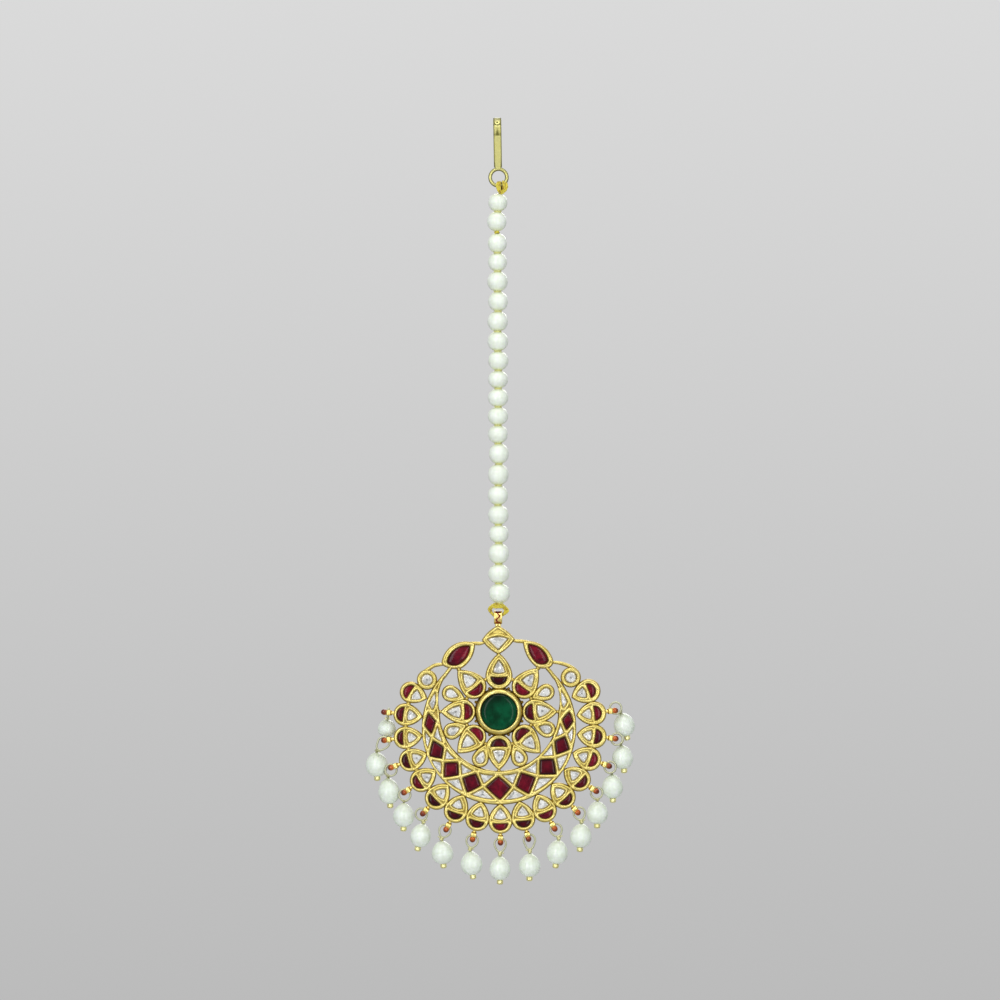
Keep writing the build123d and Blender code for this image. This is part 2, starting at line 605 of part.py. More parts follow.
def build():
    """Every sub-part by node name."""
    nodes = {"hook": hook()}
    nodes["thread"], pearls = thread()
    for number, (centre_z, width, height) in enumerate(pearls, start=1):
        centre = Pos(HOOK_X, HANG_Y, centre_z)
        nodes[f"string_pearl_{number:02d}"] = centre * pearl(width, height, 0.5, PEARL_HOLE_RADIUS)

    petal_cells, petal_rubies, petal_polkis = rosette_petals()
    filler_cells, filler_polkis = fillers()
    border_cells, border_rubies, border_polkis = border_petals()
    crescent_plate, crescent_rubies, crescent_polkis = crescent()
    round_cells = [place(x, z) * Face(Wire(Edge.make_circle(ROUND_CELL_RADIUS))) for x, z in ROUND_CELLS]
    round_polkis = [place(x, z) * Face(Wire(Edge.make_circle(ROUND_STONE_RADIUS))) for x, z in ROUND_CELLS]
    almonds = [cell(LEFT_ALMOND), cell(RIGHT_ALMOND)]
    almond_rubies = [cell(LEFT_ALMOND_RUBY), cell(RIGHT_ALMOND_RUBY)]
    bezel = Face(Wire(Edge.make_circle(BEZEL_RADIUS)))
    bezel_base = Face(Wire(Edge.make_circle(BEZEL_BASE_RADIUS)))
    solder = []
    for number in range(len(ROSETTE_PETALS)):
        x, z = on_ring((0, 0), PETAL_CENTRE_RADIUS - 0.2, 22.5 + 45 * number)
        solder.append(place(x, z) * Face(Wire(Edge.make_circle(SOLDER_RADIUS))))

    plates = petal_cells + filler_cells + border_cells + round_cells + almonds
    plates += [crescent_plate, cell(CROWN), bezel]
    rubies_inside = petal_rubies + crescent_rubies
    rubies_outside = border_rubies + almond_rubies
    polkis_rosette = petal_polkis + filler_polkis
    polkis_outside = border_polkis + round_polkis + [cell(CROWN_STONE)]
    all_stones = rubies_inside + rubies_outside + polkis_rosette + crescent_polkis + polkis_outside

    frame = fused(raise_face(plates, PLATE_BACK, PLATE_FRONT))
    frame = frame.fuse(*raise_face(solder, PLATE_BACK + 0.2, PLATE_FRONT - 0.4))
    frame = frame.fuse(*raise_face([bezel_base], PLATE_BACK, BEZEL_BASE_FRONT))
    frame = frame.fuse(*raise_face([bezel], PLATE_BACK, BEZEL_FRONT))
    wires = [strip(start, end, bow, WIRE_WIDTH) for start, end, bow in SHOULDER_WIRES]
    frame = frame.fuse(*raise_face(wires, -WIRE_HALF_DEPTH, WIRE_HALF_DEPTH))
    drop_directions = [BORDER_START + BORDER_PITCH * (number - 7) for number in range(len(DROPS))]
    frame = frame.fuse(bail(), *[lug(direction) for direction in drop_directions])
    floor = PLATE_FRONT - POCKET_DEPTH
    for prism in raise_face(all_stones, floor, BEZEL_FRONT + 1):
        frame = frame - prism
    emerald_seat = Face(Wire(Edge.make_circle(EMERALD_RADIUS)))
    nodes["frame"] = frame - raise_face([emerald_seat], floor, BEZEL_FRONT + 1)[0]

    nodes["emerald"] = emerald()
    nodes["inner_rubies"] = Compound(stones(rubies_inside))
    nodes["rosette_polkis"] = Compound(stones(polkis_rosette))
    nodes["crescent_polkis"] = Compound(stones(crescent_polkis))
    nodes["border_rubies"] = Compound(stones(rubies_outside))
    nodes["border_polkis"] = Compound(stones(polkis_outside))
    for number, row in enumerate(DROPS, start=1):
        body, wire = drop(row, drop_directions[number - 1])
        nodes[f"drop_pearl_{number:02d}"] = body
        nodes[f"drop_wire_{number:02d}"] = wire
    return nodes


os.makedirs("parts", exist_ok=True)
for node_name, shape in build().items():
    export_step(shape, f"parts/{node_name}.step")
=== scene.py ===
import bpy
import numpy as np
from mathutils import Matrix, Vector


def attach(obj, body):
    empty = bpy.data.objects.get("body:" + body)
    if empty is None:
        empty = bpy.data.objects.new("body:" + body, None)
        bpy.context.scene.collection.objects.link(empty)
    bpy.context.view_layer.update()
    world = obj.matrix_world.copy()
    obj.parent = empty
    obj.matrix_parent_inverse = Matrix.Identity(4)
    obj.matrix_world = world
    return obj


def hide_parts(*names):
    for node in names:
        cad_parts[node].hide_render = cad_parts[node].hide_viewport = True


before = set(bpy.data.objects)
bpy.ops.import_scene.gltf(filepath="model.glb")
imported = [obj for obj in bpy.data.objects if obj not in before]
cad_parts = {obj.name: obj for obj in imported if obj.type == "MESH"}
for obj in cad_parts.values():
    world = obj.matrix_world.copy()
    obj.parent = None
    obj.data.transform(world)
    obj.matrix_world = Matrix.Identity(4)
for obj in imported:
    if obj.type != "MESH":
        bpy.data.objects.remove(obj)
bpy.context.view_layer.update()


# ---------------------------------------------------------------- hair hook
# One flat strip of pale gold, bent over by hand into a hook with its tip flared out, and a
# small dimpled rivet near the top. A round wire ring is soldered to its front foot.

MM = 0.001
HOOK_X = -0.2
BEND_RADIUS = 2.65
HANG_Y = -BEND_RADIUS
BEND_Z = -2.3
STRIP_WIDTH = 1.68
STRIP_THICKNESS = 0.68
STRIP_CORNER = 0.14
FRONT_FOOT_Z = -10.15
BACK_LEG_END_Z = -7.6
FLARE_RADIUS = 3.14
FLARE_TURN = 0.76
RING_CENTRE = (HOOK_X + 0.1, HANG_Y, -11.9)
RING_RADIUS = 1.74
RING_WIRE = 0.38


def even_turn(points):
    """Angles at even steps round a full turn, in radians."""
    return np.linspace(0, 2 * np.pi, points, endpoint=False)


def unit(vectors):
    """Each vector over its own length."""
    return vectors / np.linalg.norm(vectors, axis=-1, keepdims=True)


def closed_profile(width, height, squareness=2, points=20):
    """Points round |x / half width|^n + |y / half height|^n = 1: an oval at n = 2, and a bar
    with softened corners at a larger n."""
    angle = even_turn(points)
    ring = np.stack([np.cos(angle), np.sin(angle)], -1)
    ring = np.sign(ring) * np.abs(ring) ** (2 / squareness)
    return ring * [width / 2, height / 2]


def carry(profile, path, side, size=1.0):
    """Carries a closed profile along a path: point = path + side * across + up * out, with
    across and out from the profile times the size there, and up = way of the path x side."""
    path = np.asarray(path, float)
    along = np.gradient(path, axis=0)
    if np.allclose(path[0], path[-1]):
        along[0] = along[-1] = path[1] - path[-2]
    side = np.broadcast_to(np.asarray(side, float), path.shape)
    up = unit(np.cross(along, side))
    size = np.asarray(size, float)
    size = np.broadcast_to(size[:, None] if size.ndim == 1 else size, (len(path), 2))
    across, out = np.moveaxis(profile * size[:, None], -1, 0)[..., None]
    return path[:, None] + side[:, None] * across + up[:, None] * out


def arc(centre, radius, first, last, steps):
    """Points (steps, 2) on a circle between two angles in radians."""
    angle = np.linspace(first, last, steps)
    return np.stack([centre[0] + radius * np.cos(angle), centre[1] + radius * np.sin(angle)], -1)


def ring_path(centre, radius, normal=(0, 1, 0), steps=48):
    """Closed circle about a point, square to the normal; its first and last points meet."""
    normal = unit(np.array(normal, float))
    first = unit(np.cross(normal, [0.3, 0.2, 0.9]))
    second = np.cross(normal, first)
    angle = np.linspace(0, 2 * np.pi, steps)[:, None]
    return np.asarray(centre) + radius * (first * np.cos(angle) + second * np.sin(angle))


def skin(grid, notes):
    """Turns a grid (rows, columns, 3) and its notes into a closed skin of quads. The columns
    close round. The rows close too if the last row repeats the first; otherwise each end is
    drawn in to one middle point. Faces turn outwards by the sign of the volume they hold."""
    notes = np.broadcast_to(notes, grid.shape[:2])
    looped = np.allclose(grid[0], grid[-1])
    if looped:
        grid, notes = grid[:-1], notes[:-1]
    rows, columns = grid.shape[:2]
    number = np.arange(rows * columns).reshape(rows, columns)
    low = number if looped else number[:-1]
    high = np.roll(number, -1, axis=0) if looped else number[1:]
    quads = np.stack([low, np.roll(low, -1, axis=1), np.roll(high, -1, axis=1), high], -1).reshape(-1, 4)
    points, notes = grid.reshape(-1, 3), notes.ravel()
    fans = np.zeros((0, 3), int)
    if not looped:
        first, last = (np.full(columns, rows * columns + end) for end in (0, 1))
        low, high = number[0], number[-1]
        fans = [(np.roll(low, -1), low, first), (high, np.roll(high, -1), last)]
        fans = np.concatenate([np.stack(fan, -1) for fan in fans])
        points = np.concatenate([points, [grid[0].mean(0), grid[-1].mean(0)]])
        notes = np.concatenate([notes, [notes[:columns].mean(), notes[-columns:].mean()]])
    triangles = np.concatenate([quads[:, :3], quads[:, [0, 2, 3]], fans])
    a, b, c = (points[triangles[:, corner]] for corner in range(3))
    if np.sum(np.cross(a - points[0], b - points[0]) * (c - points[0])) < 0:
        quads, fans = quads[:, ::-1], fans[:, ::-1]
    return points, quads, fans, notes


def put_in_scene(name, data):
    """A new object that holds the data, linked into the scene."""
    made = bpy.data.objects.new(name, data)
    bpy.context.scene.collection.objects.link(made)
    return made


def make_piece(name, body, material, node, forms, smooth=True, note_name="hollow"):
    """Joins the skins of some forms, each a grid in millimetres and its notes, into the piece
    that stands for a node. The notes are one number a point, kept as a named attribute."""
    skins = [skin(*form) for form in forms]
    starts = np.cumsum([0] + [len(each[0]) for each in skins[:-1]])
    points, notes = (np.concatenate([each[n] for each in skins]) for n in (0, 3))
    quads, fans = (np.concatenate([each[n] + start for each, start in zip(skins, starts)]) for n in (1, 2))
    sizes = np.repeat([4, 3], [len(quads), len(fans)])
    mesh = bpy.data.meshes.new(name)
    mesh.vertices.add(len(points))
    mesh.vertices.foreach_set("co", (points * MM).astype(np.float32).ravel())
    mesh.loops.add(sizes.sum())
    mesh.loops.foreach_set("vertex_index", np.concatenate([quads.ravel(), fans.ravel()]).astype(np.int32))
    mesh.polygons.add(len(sizes))
    mesh.polygons.foreach_set("loop_start", (np.cumsum(sizes) - sizes).astype(np.int32))
    mesh.polygons.foreach_set("use_smooth", np.full(len(sizes), smooth))
    mesh.update(calc_edges=True)
    mesh.validate()
    kept = mesh.attributes.new(note_name, "FLOAT", "POINT")
    kept.data.foreach_set("value", notes.astype(np.float32))
    mesh.materials.append(material)
    piece = put_in_scene(name, mesh)
    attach(piece, body)
    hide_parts(node)


class Shade:
    """One socket of a node tree. Arithmetic on it adds Math nodes to the same tree."""

    def __init__(self, nodes, socket):
        self.nodes = nodes
        self.socket = socket

    def math(self, operation, first, second):
        return self.nodes.node("ShaderNodeMath", {"operation": operation}, {0: first, 1: second})

    def __add__(self, other):
        return self.math("ADD", self, other)

    def __sub__(self, other):
        return self.math("SUBTRACT", self, other)

    def __rsub__(self, other):
        return self.math("SUBTRACT", other, self)

    def __mul__(self, other):
        return self.math("MULTIPLY", self, other)

    __radd__ = __add__
    __rmul__ = __mul__


class Nodes:
    """A node tree. Colours are given as red, green and blue."""

    def __init__(self, tree):
        self.tree = tree

    def node(self, kind, settings=None, feeds=None, output=0):
        """Adds a node: its kind, its settings, then the values or links of its sockets."""
        made = self.tree.nodes.new(kind)
        for key, value in (settings or {}).items():
            setattr(made, key, value)
        for key, value in (feeds or {}).items():
            self.feed(made.inputs[key], value)
        return Shade(self, made.outputs[output])

    def feed(self, socket, value):
        """Links a socket to another socket, or gives it a value."""
        if isinstance(value, Shade):
            self.tree.links.new(value.socket, socket)
        else:
            socket.default_value = (*value, 1) if socket.type == "RGBA" else value

    def sharpen(self, value, low, high):
        """Stretches the span from low to high over 0 to 1 and eases its ends."""
        settings = {"interpolation_type": "SMOOTHSTEP"}
        return self.node("ShaderNodeMapRange", settings, {"Value": value, "From Min": low, "From Max": high})

    def blend(self, share, first, second):
        """Colour between first and second by a share from 0 to 1."""
        return self.node("ShaderNodeMix", {"data_type": "RGBA"}, {0: share, 6: first, 7: second}, 2)


class Finish(Nodes):
    """A surface finish: one Principled shader, its fixed values, and the nodes that feed it."""

    def __init__(self, name, **fixed):
        self.material = bpy.data.materials.new(name)
        self.material.use_nodes = True
        super().__init__(self.material.node_tree)
        self.set(**fixed)

    def set(self, **feeds):
        """Feeds sockets of the shader by name and returns the material."""
        for name, value in feeds.items():
            self.feed(self.tree.nodes["Principled BSDF"].inputs[name.replace("_", " ")], value)
        return self.material

    def cloud(self, scale, detail=3.0, stretch=(1, 1, 1), roughness=0.5):
        """Soft noise from 0 to 1 with 'scale' features a metre, stretched along the axes."""
        place = self.node("ShaderNodeTexCoord", output="Object")
        place = self.node("ShaderNodeMapping", {}, {"Vector": place, "Scale": stretch})
        feeds = {"Vector": place, "Scale": scale, "Detail": detail, "Roughness": roughness}
        return self.node("ShaderNodeTexNoise", {}, feeds)

    def note(self, name="hollow"):
        """The number kept at each point of the piece."""
        return self.node("ShaderNodeAttribute", {"attribute_name": name}, output="Fac")

    def relief(self, height, depth, strength):
        """Bump from a height of 0 to 1 that stands for a depth in metres."""
        return self.node("ShaderNodeBump", {}, {"Height": height, "Distance": depth, "Strength": strength})


def metal_finish(name, bright, deep, shade_and_dull_colour, low_roughness, high_roughness):
    """Worn metal: two tones in soft clouds, a third colour by the note (painted shade in the
    hollows and down the sides of the gold, a duller own tint on the drop wires), faint file marks.
    """
    finish = Finish(name, Metallic=1.0, IOR=1.45)
    tone = finish.sharpen(finish.cloud(620.0, 3.0), 0.35, 0.68)
    hollow = finish.note()
    # painted shade: the colour goes towards the third colour where the note is high; on the drop wires this
    # is their duller tint
    colour = finish.blend(hollow, finish.blend(tone, bright, deep), shade_and_dull_colour)
    marks = finish.cloud(1500.0, 3.0, (1, 1, 0.3))
    grain = finish.cloud(4200.0, 2.0)
    rough = low_roughness + (high_roughness - low_roughness) * (0.6 * tone + 0.4 * grain) + 0.25 * hollow
    height = 0.55 * marks + 0.45 * finish.cloud(900.0, 2.0)
    return finish.set(Base_Color=colour, Roughness=rough, Normal=finish.relief(height, 0.00006, 0.45))


# the third colour is the painted shade of the hook's edges, marks and dimple
pale_gold = metal_finish("pale_gold", (0.58, 0.55, 0.22), (0.5, 0.47, 0.17), (0.13, 0.125, 0.035), 0.3, 0.42)

bend = arc((0, BEND_Z), BEND_RADIUS, np.pi, 0, 88)
flare = arc((BEND_RADIUS + FLARE_RADIUS, BACK_LEG_END_Z), FLARE_RADIUS, np.pi, np.pi + FLARE_TURN, 14)
legs = np.concatenate(
    [
        np.stack([np.full(90, -BEND_RADIUS), np.linspace(FRONT_FOOT_Z, BEND_Z, 90, endpoint=False)], -1),
        bend,
        np.stack([np.full(14, BEND_RADIUS), np.linspace(BEND_Z, BACK_LEG_END_Z, 16)[1:-1]], -1),
        flare,
    ]
)
lean = np.interp(legs[:, 1], [FRONT_FOOT_Z, 0], [0.0, -0.17])
strip_path = np.stack([HOOK_X + lean, legs[:, 0], legs[:, 1]], -1)
foot_taper = np.clip((legs[:, 1] - FRONT_FOOT_Z) / 2.6, 0, 1) + (legs[:, 0] > 0)
strip_size = np.stack([np.interp(foot_taper, [0, 1], [0.78, 1.0]), np.ones(len(legs))], -1)
tip = np.linspace(1, 0.35, 5)[:, None] * [1, 1]
strip_size[-5:] *= np.sqrt(tip)


def bar_profile(width, height, corner):
    """Bar with even points across its two faces and a quarter circle at each corner."""
    half, up = width / 2 - corner, height / 2 - corner
    face = np.linspace(half, -half, 16)[1:-1]
    face = np.stack([face, np.full(len(face), height / 2)], -1)
    right = arc((half, up), corner, 0, np.pi / 2, 5)
    left = arc((-half, up), corner, np.pi / 2, np.pi, 5)
    return np.concatenate([right, face, left, -right, -face, -left])


strip_profile = bar_profile(STRIP_WIDTH, STRIP_THICKNESS, STRIP_CORNER)
strip = carry(strip_profile, strip_path, (1, 0, 0), strip_size)
off_middle = np.abs(strip_profile[:, 0]) / (STRIP_WIDTH / 2)
# painted shade along the rounded edges of the strip
strip_edge_shade = np.interp(off_middle, [0.6, 0.84, 0.94, 1], [0, 0.85, 0.9, 0.2])
# painted shade and reflection in front: a dark line above and below the rivet, and a dark notch that widens
# downwards
from_middle = strip[..., 0] - strip_path[:, :1]
strip_z = strip[..., 2]
painted_line_shade = np.exp(-(((strip_z + 0.9) / 0.13) ** 2)) + np.exp(-(((strip_z - 0.5) / 0.16) ** 2))
down = np.clip((-1.2 - strip_z) / 1.9, 0, 1)
painted_notch_shade = down**0.6 * np.exp(-((from_middle / (0.16 + 0.5 * down**2)) ** 2))
painted_notch_shade *= np.clip((strip_z + 3.35) / 0.25, 0, 1)
strip_painted_shade = np.clip(strip_edge_shade + (0.8 * painted_line_shade + 1.2 * painted_notch_shade) * (strip[..., 1] < 0), 0, 1)
ring_line = ring_path(RING_CENTRE, RING_RADIUS, steps=64)
hook_ring = carry(closed_profile(0.72, 2 * RING_WIRE), ring_line, (0, 1, 0))
# painted shade down two sides of the ring's wire
ring_painted_shade = np.abs(np.sin(even_turn(20))) ** 1.5

RIVET_TURN = 0.92
RIVET_SINK = 0.12
rivet_out = np.array([0, -np.sin(RIVET_TURN), np.cos(RIVET_TURN)])
rivet_up = np.array([0, np.cos(RIVET_TURN), np.sin(RIVET_TURN)])
rivet_foot = np.array([HOOK_X - 0.15, 0, BEND_Z])
rivet_foot = rivet_foot + rivet_out * (BEND_RADIUS + STRIP_THICKNESS / 2 - RIVET_SINK)
# the rivet's outline from its rim to the dimple (radius, height), and its painted shade there, darkest in the
# dimple and at the rim
rivet_profile = [(0.68, 0), (0.68, 0.12), (0.62, 0.24), (0.48, 0.33), (0.3, 0.36), (0.17, 0.31), (0.08, 0.16)]
rivet_radius = [radius for radius, _ in rivet_profile]
rivet_painted_shade = np.interp(rivet_radius, [0.08, 0.17, 0.3, 0.5, 0.62, 0.68], [1, 0.6, 0, 0, 0.4, 1])


def turned_form(profile, foot, axis, across, steps=32):
    """Turns a profile of (radius, height) round an axis that stands on a foot point."""
    axis, across, profile = (np.asarray(each, float) for each in (axis, across, profile))
    angle = even_turn(steps)[:, None]
    ring = across * np.cos(angle) + np.cross(axis, across) * np.sin(angle)
    return np.asarray(foot) + axis * profile[:, None, 1:] + ring * profile[:, None, :1]


rivet = turned_form(rivet_profile, rivet_foot, rivet_out, rivet_up)
hook_forms = [(strip, strip_painted_shade), (hook_ring, ring_painted_shade), (rivet, rivet_painted_shade[:, None])]
make_piece("hair_hook", "string", pale_gold, "hook", hook_forms)


# ---------------------------------------------------------------- string pearls
# Twenty-one freshwater pearls, drilled and strung touching. They are nearly round, each a
# little different, greenish white with a soft lustre, and darker round the drill holes, where
# the tint is partly painted shade.

# width, height and shift to the right of each pearl, from the top down
STRING_PEARLS = [
    (4.02, 3.7, -0.04), (4.06, 4.02, -0.26), (4, 4, -0.14), (3.98, 3.76, -0.1),
    (4.34, 4.12, -0.1), (4.16, 4.04, 0), (4.36, 4.12, -0.08), (4.34, 4.02, -0.06),
    (4.3, 3.94, 0.04), (4.2, 3.68, 0), (4.26, 3.76, 0.02), (4.22, 3.74, -0.02),
    (4.2, 3.72, 0), (4.2, 4.2, 0.18), (4.36, 4.36, 0.06), (4.26, 4.02, -0.02),
    (4.36, 4.04, 0.06), (4.18, 3.74, 0.15), (4.34, 4.26, 0.14), (4.4, 3.96, 0.14),
    (4.46, 4.06, 0.3),
]
FIRST_PEARL_TOP = -15.28
PEARL_GAP = 0.08
KNOTTED_PEARL = 2
KNOT_GAP = 0.42
DRILL_RADIUS = 0.36
TINT_RADIUS = 1.75
STRING_FULLNESS = 0.88


def pearl_form(width, height, lower_share, drill, seed, fullness, tinted, columns=40, pointed=0.0):
    """A pearl about its girth: radius = width / 2 * cos(a) ** fullness against height * sin(a)
    with its own height above and below, plus low waves, and a drilled hole at each end; the
    power is greater above by 'pointed'. Also returns how tinted it is: out to the radius
    'tinted' round the holes, a tint that is partly the drilled ends' own colour and partly
    painted shade, and faintly on top, where it is painted shade."""
    draw = np.random.default_rng(seed)
    lower, upper = height * lower_share, height * (1 - lower_share)
    steep = np.arccos(min(0.95, drill * 2 / width) ** (1 / fullness))
    angle = np.linspace(-steep, steep, 33)
    radius = width / 2 * np.cos(angle) ** np.where(angle > 0, fullness + pointed, fullness)
    level = np.where(angle < 0, lower, upper) * np.sin(angle) / np.sin(steep)
    hole, sunk = drill * np.array([0.86, 0.8, 0.78]), lower * np.array([0.02, 0.14, 0.4])
    radius = np.concatenate([hole[::-1], np.maximum(radius, 0.9 * drill), hole])
    level = np.concatenate([sunk[::-1] - lower, level, upper - sunk])
    near_hole = np.clip((tinted - radius) / (tinted - drill), 0, 1)
    near_hole = np.maximum(near_hole, 0.36 * np.clip(2.4 * level / height - 0.4, 0, 1))
    turn = even_turn(columns)
    phase = draw.uniform(0, 2 * np.pi, 3)
    wave = 0.008 * np.sin(2 * turn + phase[0]) + 0.004 * np.sin(3 * turn + phase[1])
    swell = 1 + wave * np.cos(np.linspace(-1.3, 1.3, len(level)))[:, None]
    swell = swell + 0.004 * np.sin(4 * level[:, None] / height + turn + phase[2])
    out = radius[:, None] * swell
    form = np.stack([out * np.cos(turn), out * np.sin(turn), level[:, None] + 0 * turn], -1)
    return form, near_hole[:, None]


def pearl_finish(name, body, shade, drilled):
    """Nacre: pale body with faint growth bands and fine upright streaks, a clear skin, and a
    tint where it is drilled. The streaks are painted highlights in the colour, and also
    glossier and raised; the tint is partly painted shade."""
    skin_coat = {"Coat_Weight": 0.25, "Coat_Roughness": 0.15, "Coat_IOR": 1.5}
    glow = {"Subsurface_Weight": 0.1, "Subsurface_Radius": (0.001, 0.0012, 0.0008), "Subsurface_Scale": 0.5}
    finish = Finish(name, IOR=1.45, **skin_coat, **glow)
    bands = finish.cloud(600.0, 3.0, (1, 1, 2.0), 0.6)
    streaks_and_painted_highlights = finish.sharpen(finish.cloud(1500.0, 2.0, (1, 1, 0.12)), 0.42, 0.7)
    colour = finish.blend(finish.sharpen(bands, 0.3, 0.7), body, shade)
    # painted highlights: pale upright streaks in the colour
    colour = finish.blend(0.55 * streaks_and_painted_highlights, colour, (0.86, 0.91, 0.88))
    # the tint where drilled: partly the drilled ends' own colour, partly painted shade
    colour = finish.blend(finish.note(), colour, drilled)
    height = 0.5 * finish.cloud(420.0, 2.0) + 0.5 * streaks_and_painted_highlights
    rough = 0.34 - 0.12 * streaks_and_painted_highlights
    return finish.set(Base_Color=colour, Roughness=rough, Normal=finish.relief(height, 0.00007, 0.35))


# the third colour is the tint where drilled, partly painted shade
nacre = pearl_finish("string_nacre", (0.86, 0.93, 0.84), (0.77, 0.84, 0.72), (0.7, 0.73, 0.34))
pearl_top = FIRST_PEARL_TOP
string_line = [(HOOK_X + 0.3, HANG_Y, FIRST_PEARL_TOP + 0.3)]
for number, (width, height, shift) in enumerate(STRING_PEARLS, start=1):
    form, tint = pearl_form(width, height, 0.5, DRILL_RADIUS, number, STRING_FULLNESS, TINT_RADIUS)
    middle = (HOOK_X + shift, HANG_Y, pearl_top - height / 2)
    name, node = f"pearl_on_string_{number:02d}", f"string_pearl_{number:02d}"
    make_piece(name, "string", nacre, node, [(form + middle, tint)])
    gap = PEARL_GAP + (KNOT_GAP if number == KNOTTED_PEARL else 0)
    pearl_top -= height + gap
    string_line += [middle, (middle[0], HANG_Y, pearl_top + gap / 2)]
string_line = np.array(string_line)


# ---------------------------------------------------------------- thread
# Twisted yellow silk. It is hitched on the hook's ring in two fat lobes, has a small knot
# under the second pearl, and ends in a loose bow of two strands through the bail's eye.

BOW_FOOT_Z = -103.1
CORE_STRAND = 0.27
HITCH_STRAND = 0.25
FRONT_STRAND = 0.24
KNOT_STRAND = 0.28
SMALL_STRAND = 0.26
COLLAR_RADIUS = 0.58


def twist(path, lay, strands, strand_width, turns, worn=0.0):
    """Strands wound round a path: point = path + lay * (side * cos(t) + up * sin(t)), where t
    grows along the path by whole turns and starts at an equal step for each strand. Each is
    returned with how worn it is."""
    along = unit(np.gradient(path, axis=0))
    side = unit(np.cross(along, [0.05, 1, 0.02]))
    up = np.cross(along, side)
    made = []
    for strand in range(strands):
        t = 2 * np.pi * (turns * np.linspace(0, 1, len(path)) + strand / strands)[:, None]
        centre = path + lay * (side * np.cos(t) + up * np.sin(t))
        made.append((carry(closed_profile(strand_width, strand_width, 2, 8), centre, side), worn))
    return made


def soft_path(points, steps):
    """Smooth path through a short list of points: Catmull-Rom spans, p = cubic of the four
    nearest points."""
    p = np.asarray(points, float)
    p = np.concatenate([[2 * p[0] - p[1]], p, [2 * p[-1] - p[-2]]])
    t = np.linspace(0, len(points) - 1, steps)
    span = np.minimum(t.astype(int), len(points) - 2)
    f = (t - span)[:, None]
    a, b, c, d = p[span], p[span + 1], p[span + 2], p[span + 3]
    return 0.5 * (2 * b + (c - a) * f + (2 * a - 5 * b + 4 * c - d) * f**2 + (3 * b - 3 * c + d - a) * f**3)


def silk_finish():
    """Yellow silk: fine fibres along the strand, a soft sheen, darker patches, and paler where
    it is worn between the pearls."""
    finish = Finish("yellow_silk", Roughness=0.55, Sheen_Weight=0.4, Sheen_Roughness=0.4)
    fibres = finish.cloud(9000.0, 3.0, (1, 1, 0.3))
    patches = finish.cloud(1200.0, 2.0)
    colour = finish.blend(fibres, (0.6, 0.49, 0.025), (0.8, 0.7, 0.08))
    colour = finish.blend(0.85 * finish.sharpen(patches, 0.48, 0.66), colour, (0.34, 0.19, 0.01))
    colour = finish.blend(finish.note(), colour, (0.7, 0.69, 0.27))
    return finish.set(Base_Color=colour, Normal=finish.relief(fibres, 0.00005, 0.6))


silk = silk_finish()
ring_foot = np.array([RING_CENTRE[0], HANG_Y, RING_CENTRE[2] - RING_RADIUS])
silk_forms = twist(soft_path(string_line, 420), 0.12, 2, CORE_STRAND, 70, worn=1.0)
# one turn of silk between neighbouring pearls, but for the gap that has the small knot
for hole in np.delete(string_line[2::2], KNOTTED_PEARL - 1, axis=0):
    turn = ring_path(hole, COLLAR_RADIUS, (0, 0, 1), 24)
    silk_forms.append((carry(closed_profile(0.36, 0.46, 2, 8), turn, (0, 0, 1)), 1.0))
# turns of the hitch, each up one side of the ring's wire, over it and down to the point
HITCH_TURNS = [
    [(0.6, -0.45, -1.62), (-0.02, -0.8, -0.95), (-0.28, -0.8, -0.1), (-0.12, -0.3, 0.62), (0.02, 0.45, 0.55),
     (0.05, 0.72, -0.3), (0.35, 0.4, -1.15), (0.62, 0.05, -1.55)],
    [(0.66, -0.5, -1.7), (0.3, -0.92, -1.0), (0.2, -0.95, -0.15), (0.3, -0.4, 0.66), (0.36, 0.4, 0.6),
     (0.4, 0.72, -0.2), (0.5, 0.4, -1.1), (0.64, 0.05, -1.5)],
    [(0.72, -0.5, -1.66), (1.05, -0.92, -0.92), (1.12, -0.92, -0.02), (1.02, -0.35, 0.78), (0.9, 0.4, 0.72),
     (0.86, 0.7, -0.1), (0.76, 0.4, -1.1), (0.66, 0.05, -1.5)],
    [(0.74, -0.45, -1.58), (1.46, -0.78, -0.9), (1.72, -0.76, -0.1), (1.56, -0.25, 0.55), (1.4, 0.42, 0.55),
     (1.2, 0.66, -0.15), (0.9, 0.4, -1.05), (0.68, 0.05, -1.5)],
]
for turn in HITCH_TURNS:
    silk_forms += twist(ring_foot + soft_path(turn, 70), 0.17, 4, HITCH_STRAND, 2)
SMALL_KNOT = [
    (-0.42, 0, 0.08), (0, -0.44, 0.02), (0.42, 0, -0.08), (0, 0.42, 0.05), (-0.36, -0.1, -0.12),
    (0.1, -0.42, 0.14), (0.4, 0.1, 0.1),
]
small_knot = string_line[2 * KNOTTED_PEARL] + soft_path(SMALL_KNOT, 60)
silk_forms += twist(small_knot, 0.1, 2, SMALL_STRAND, 5)

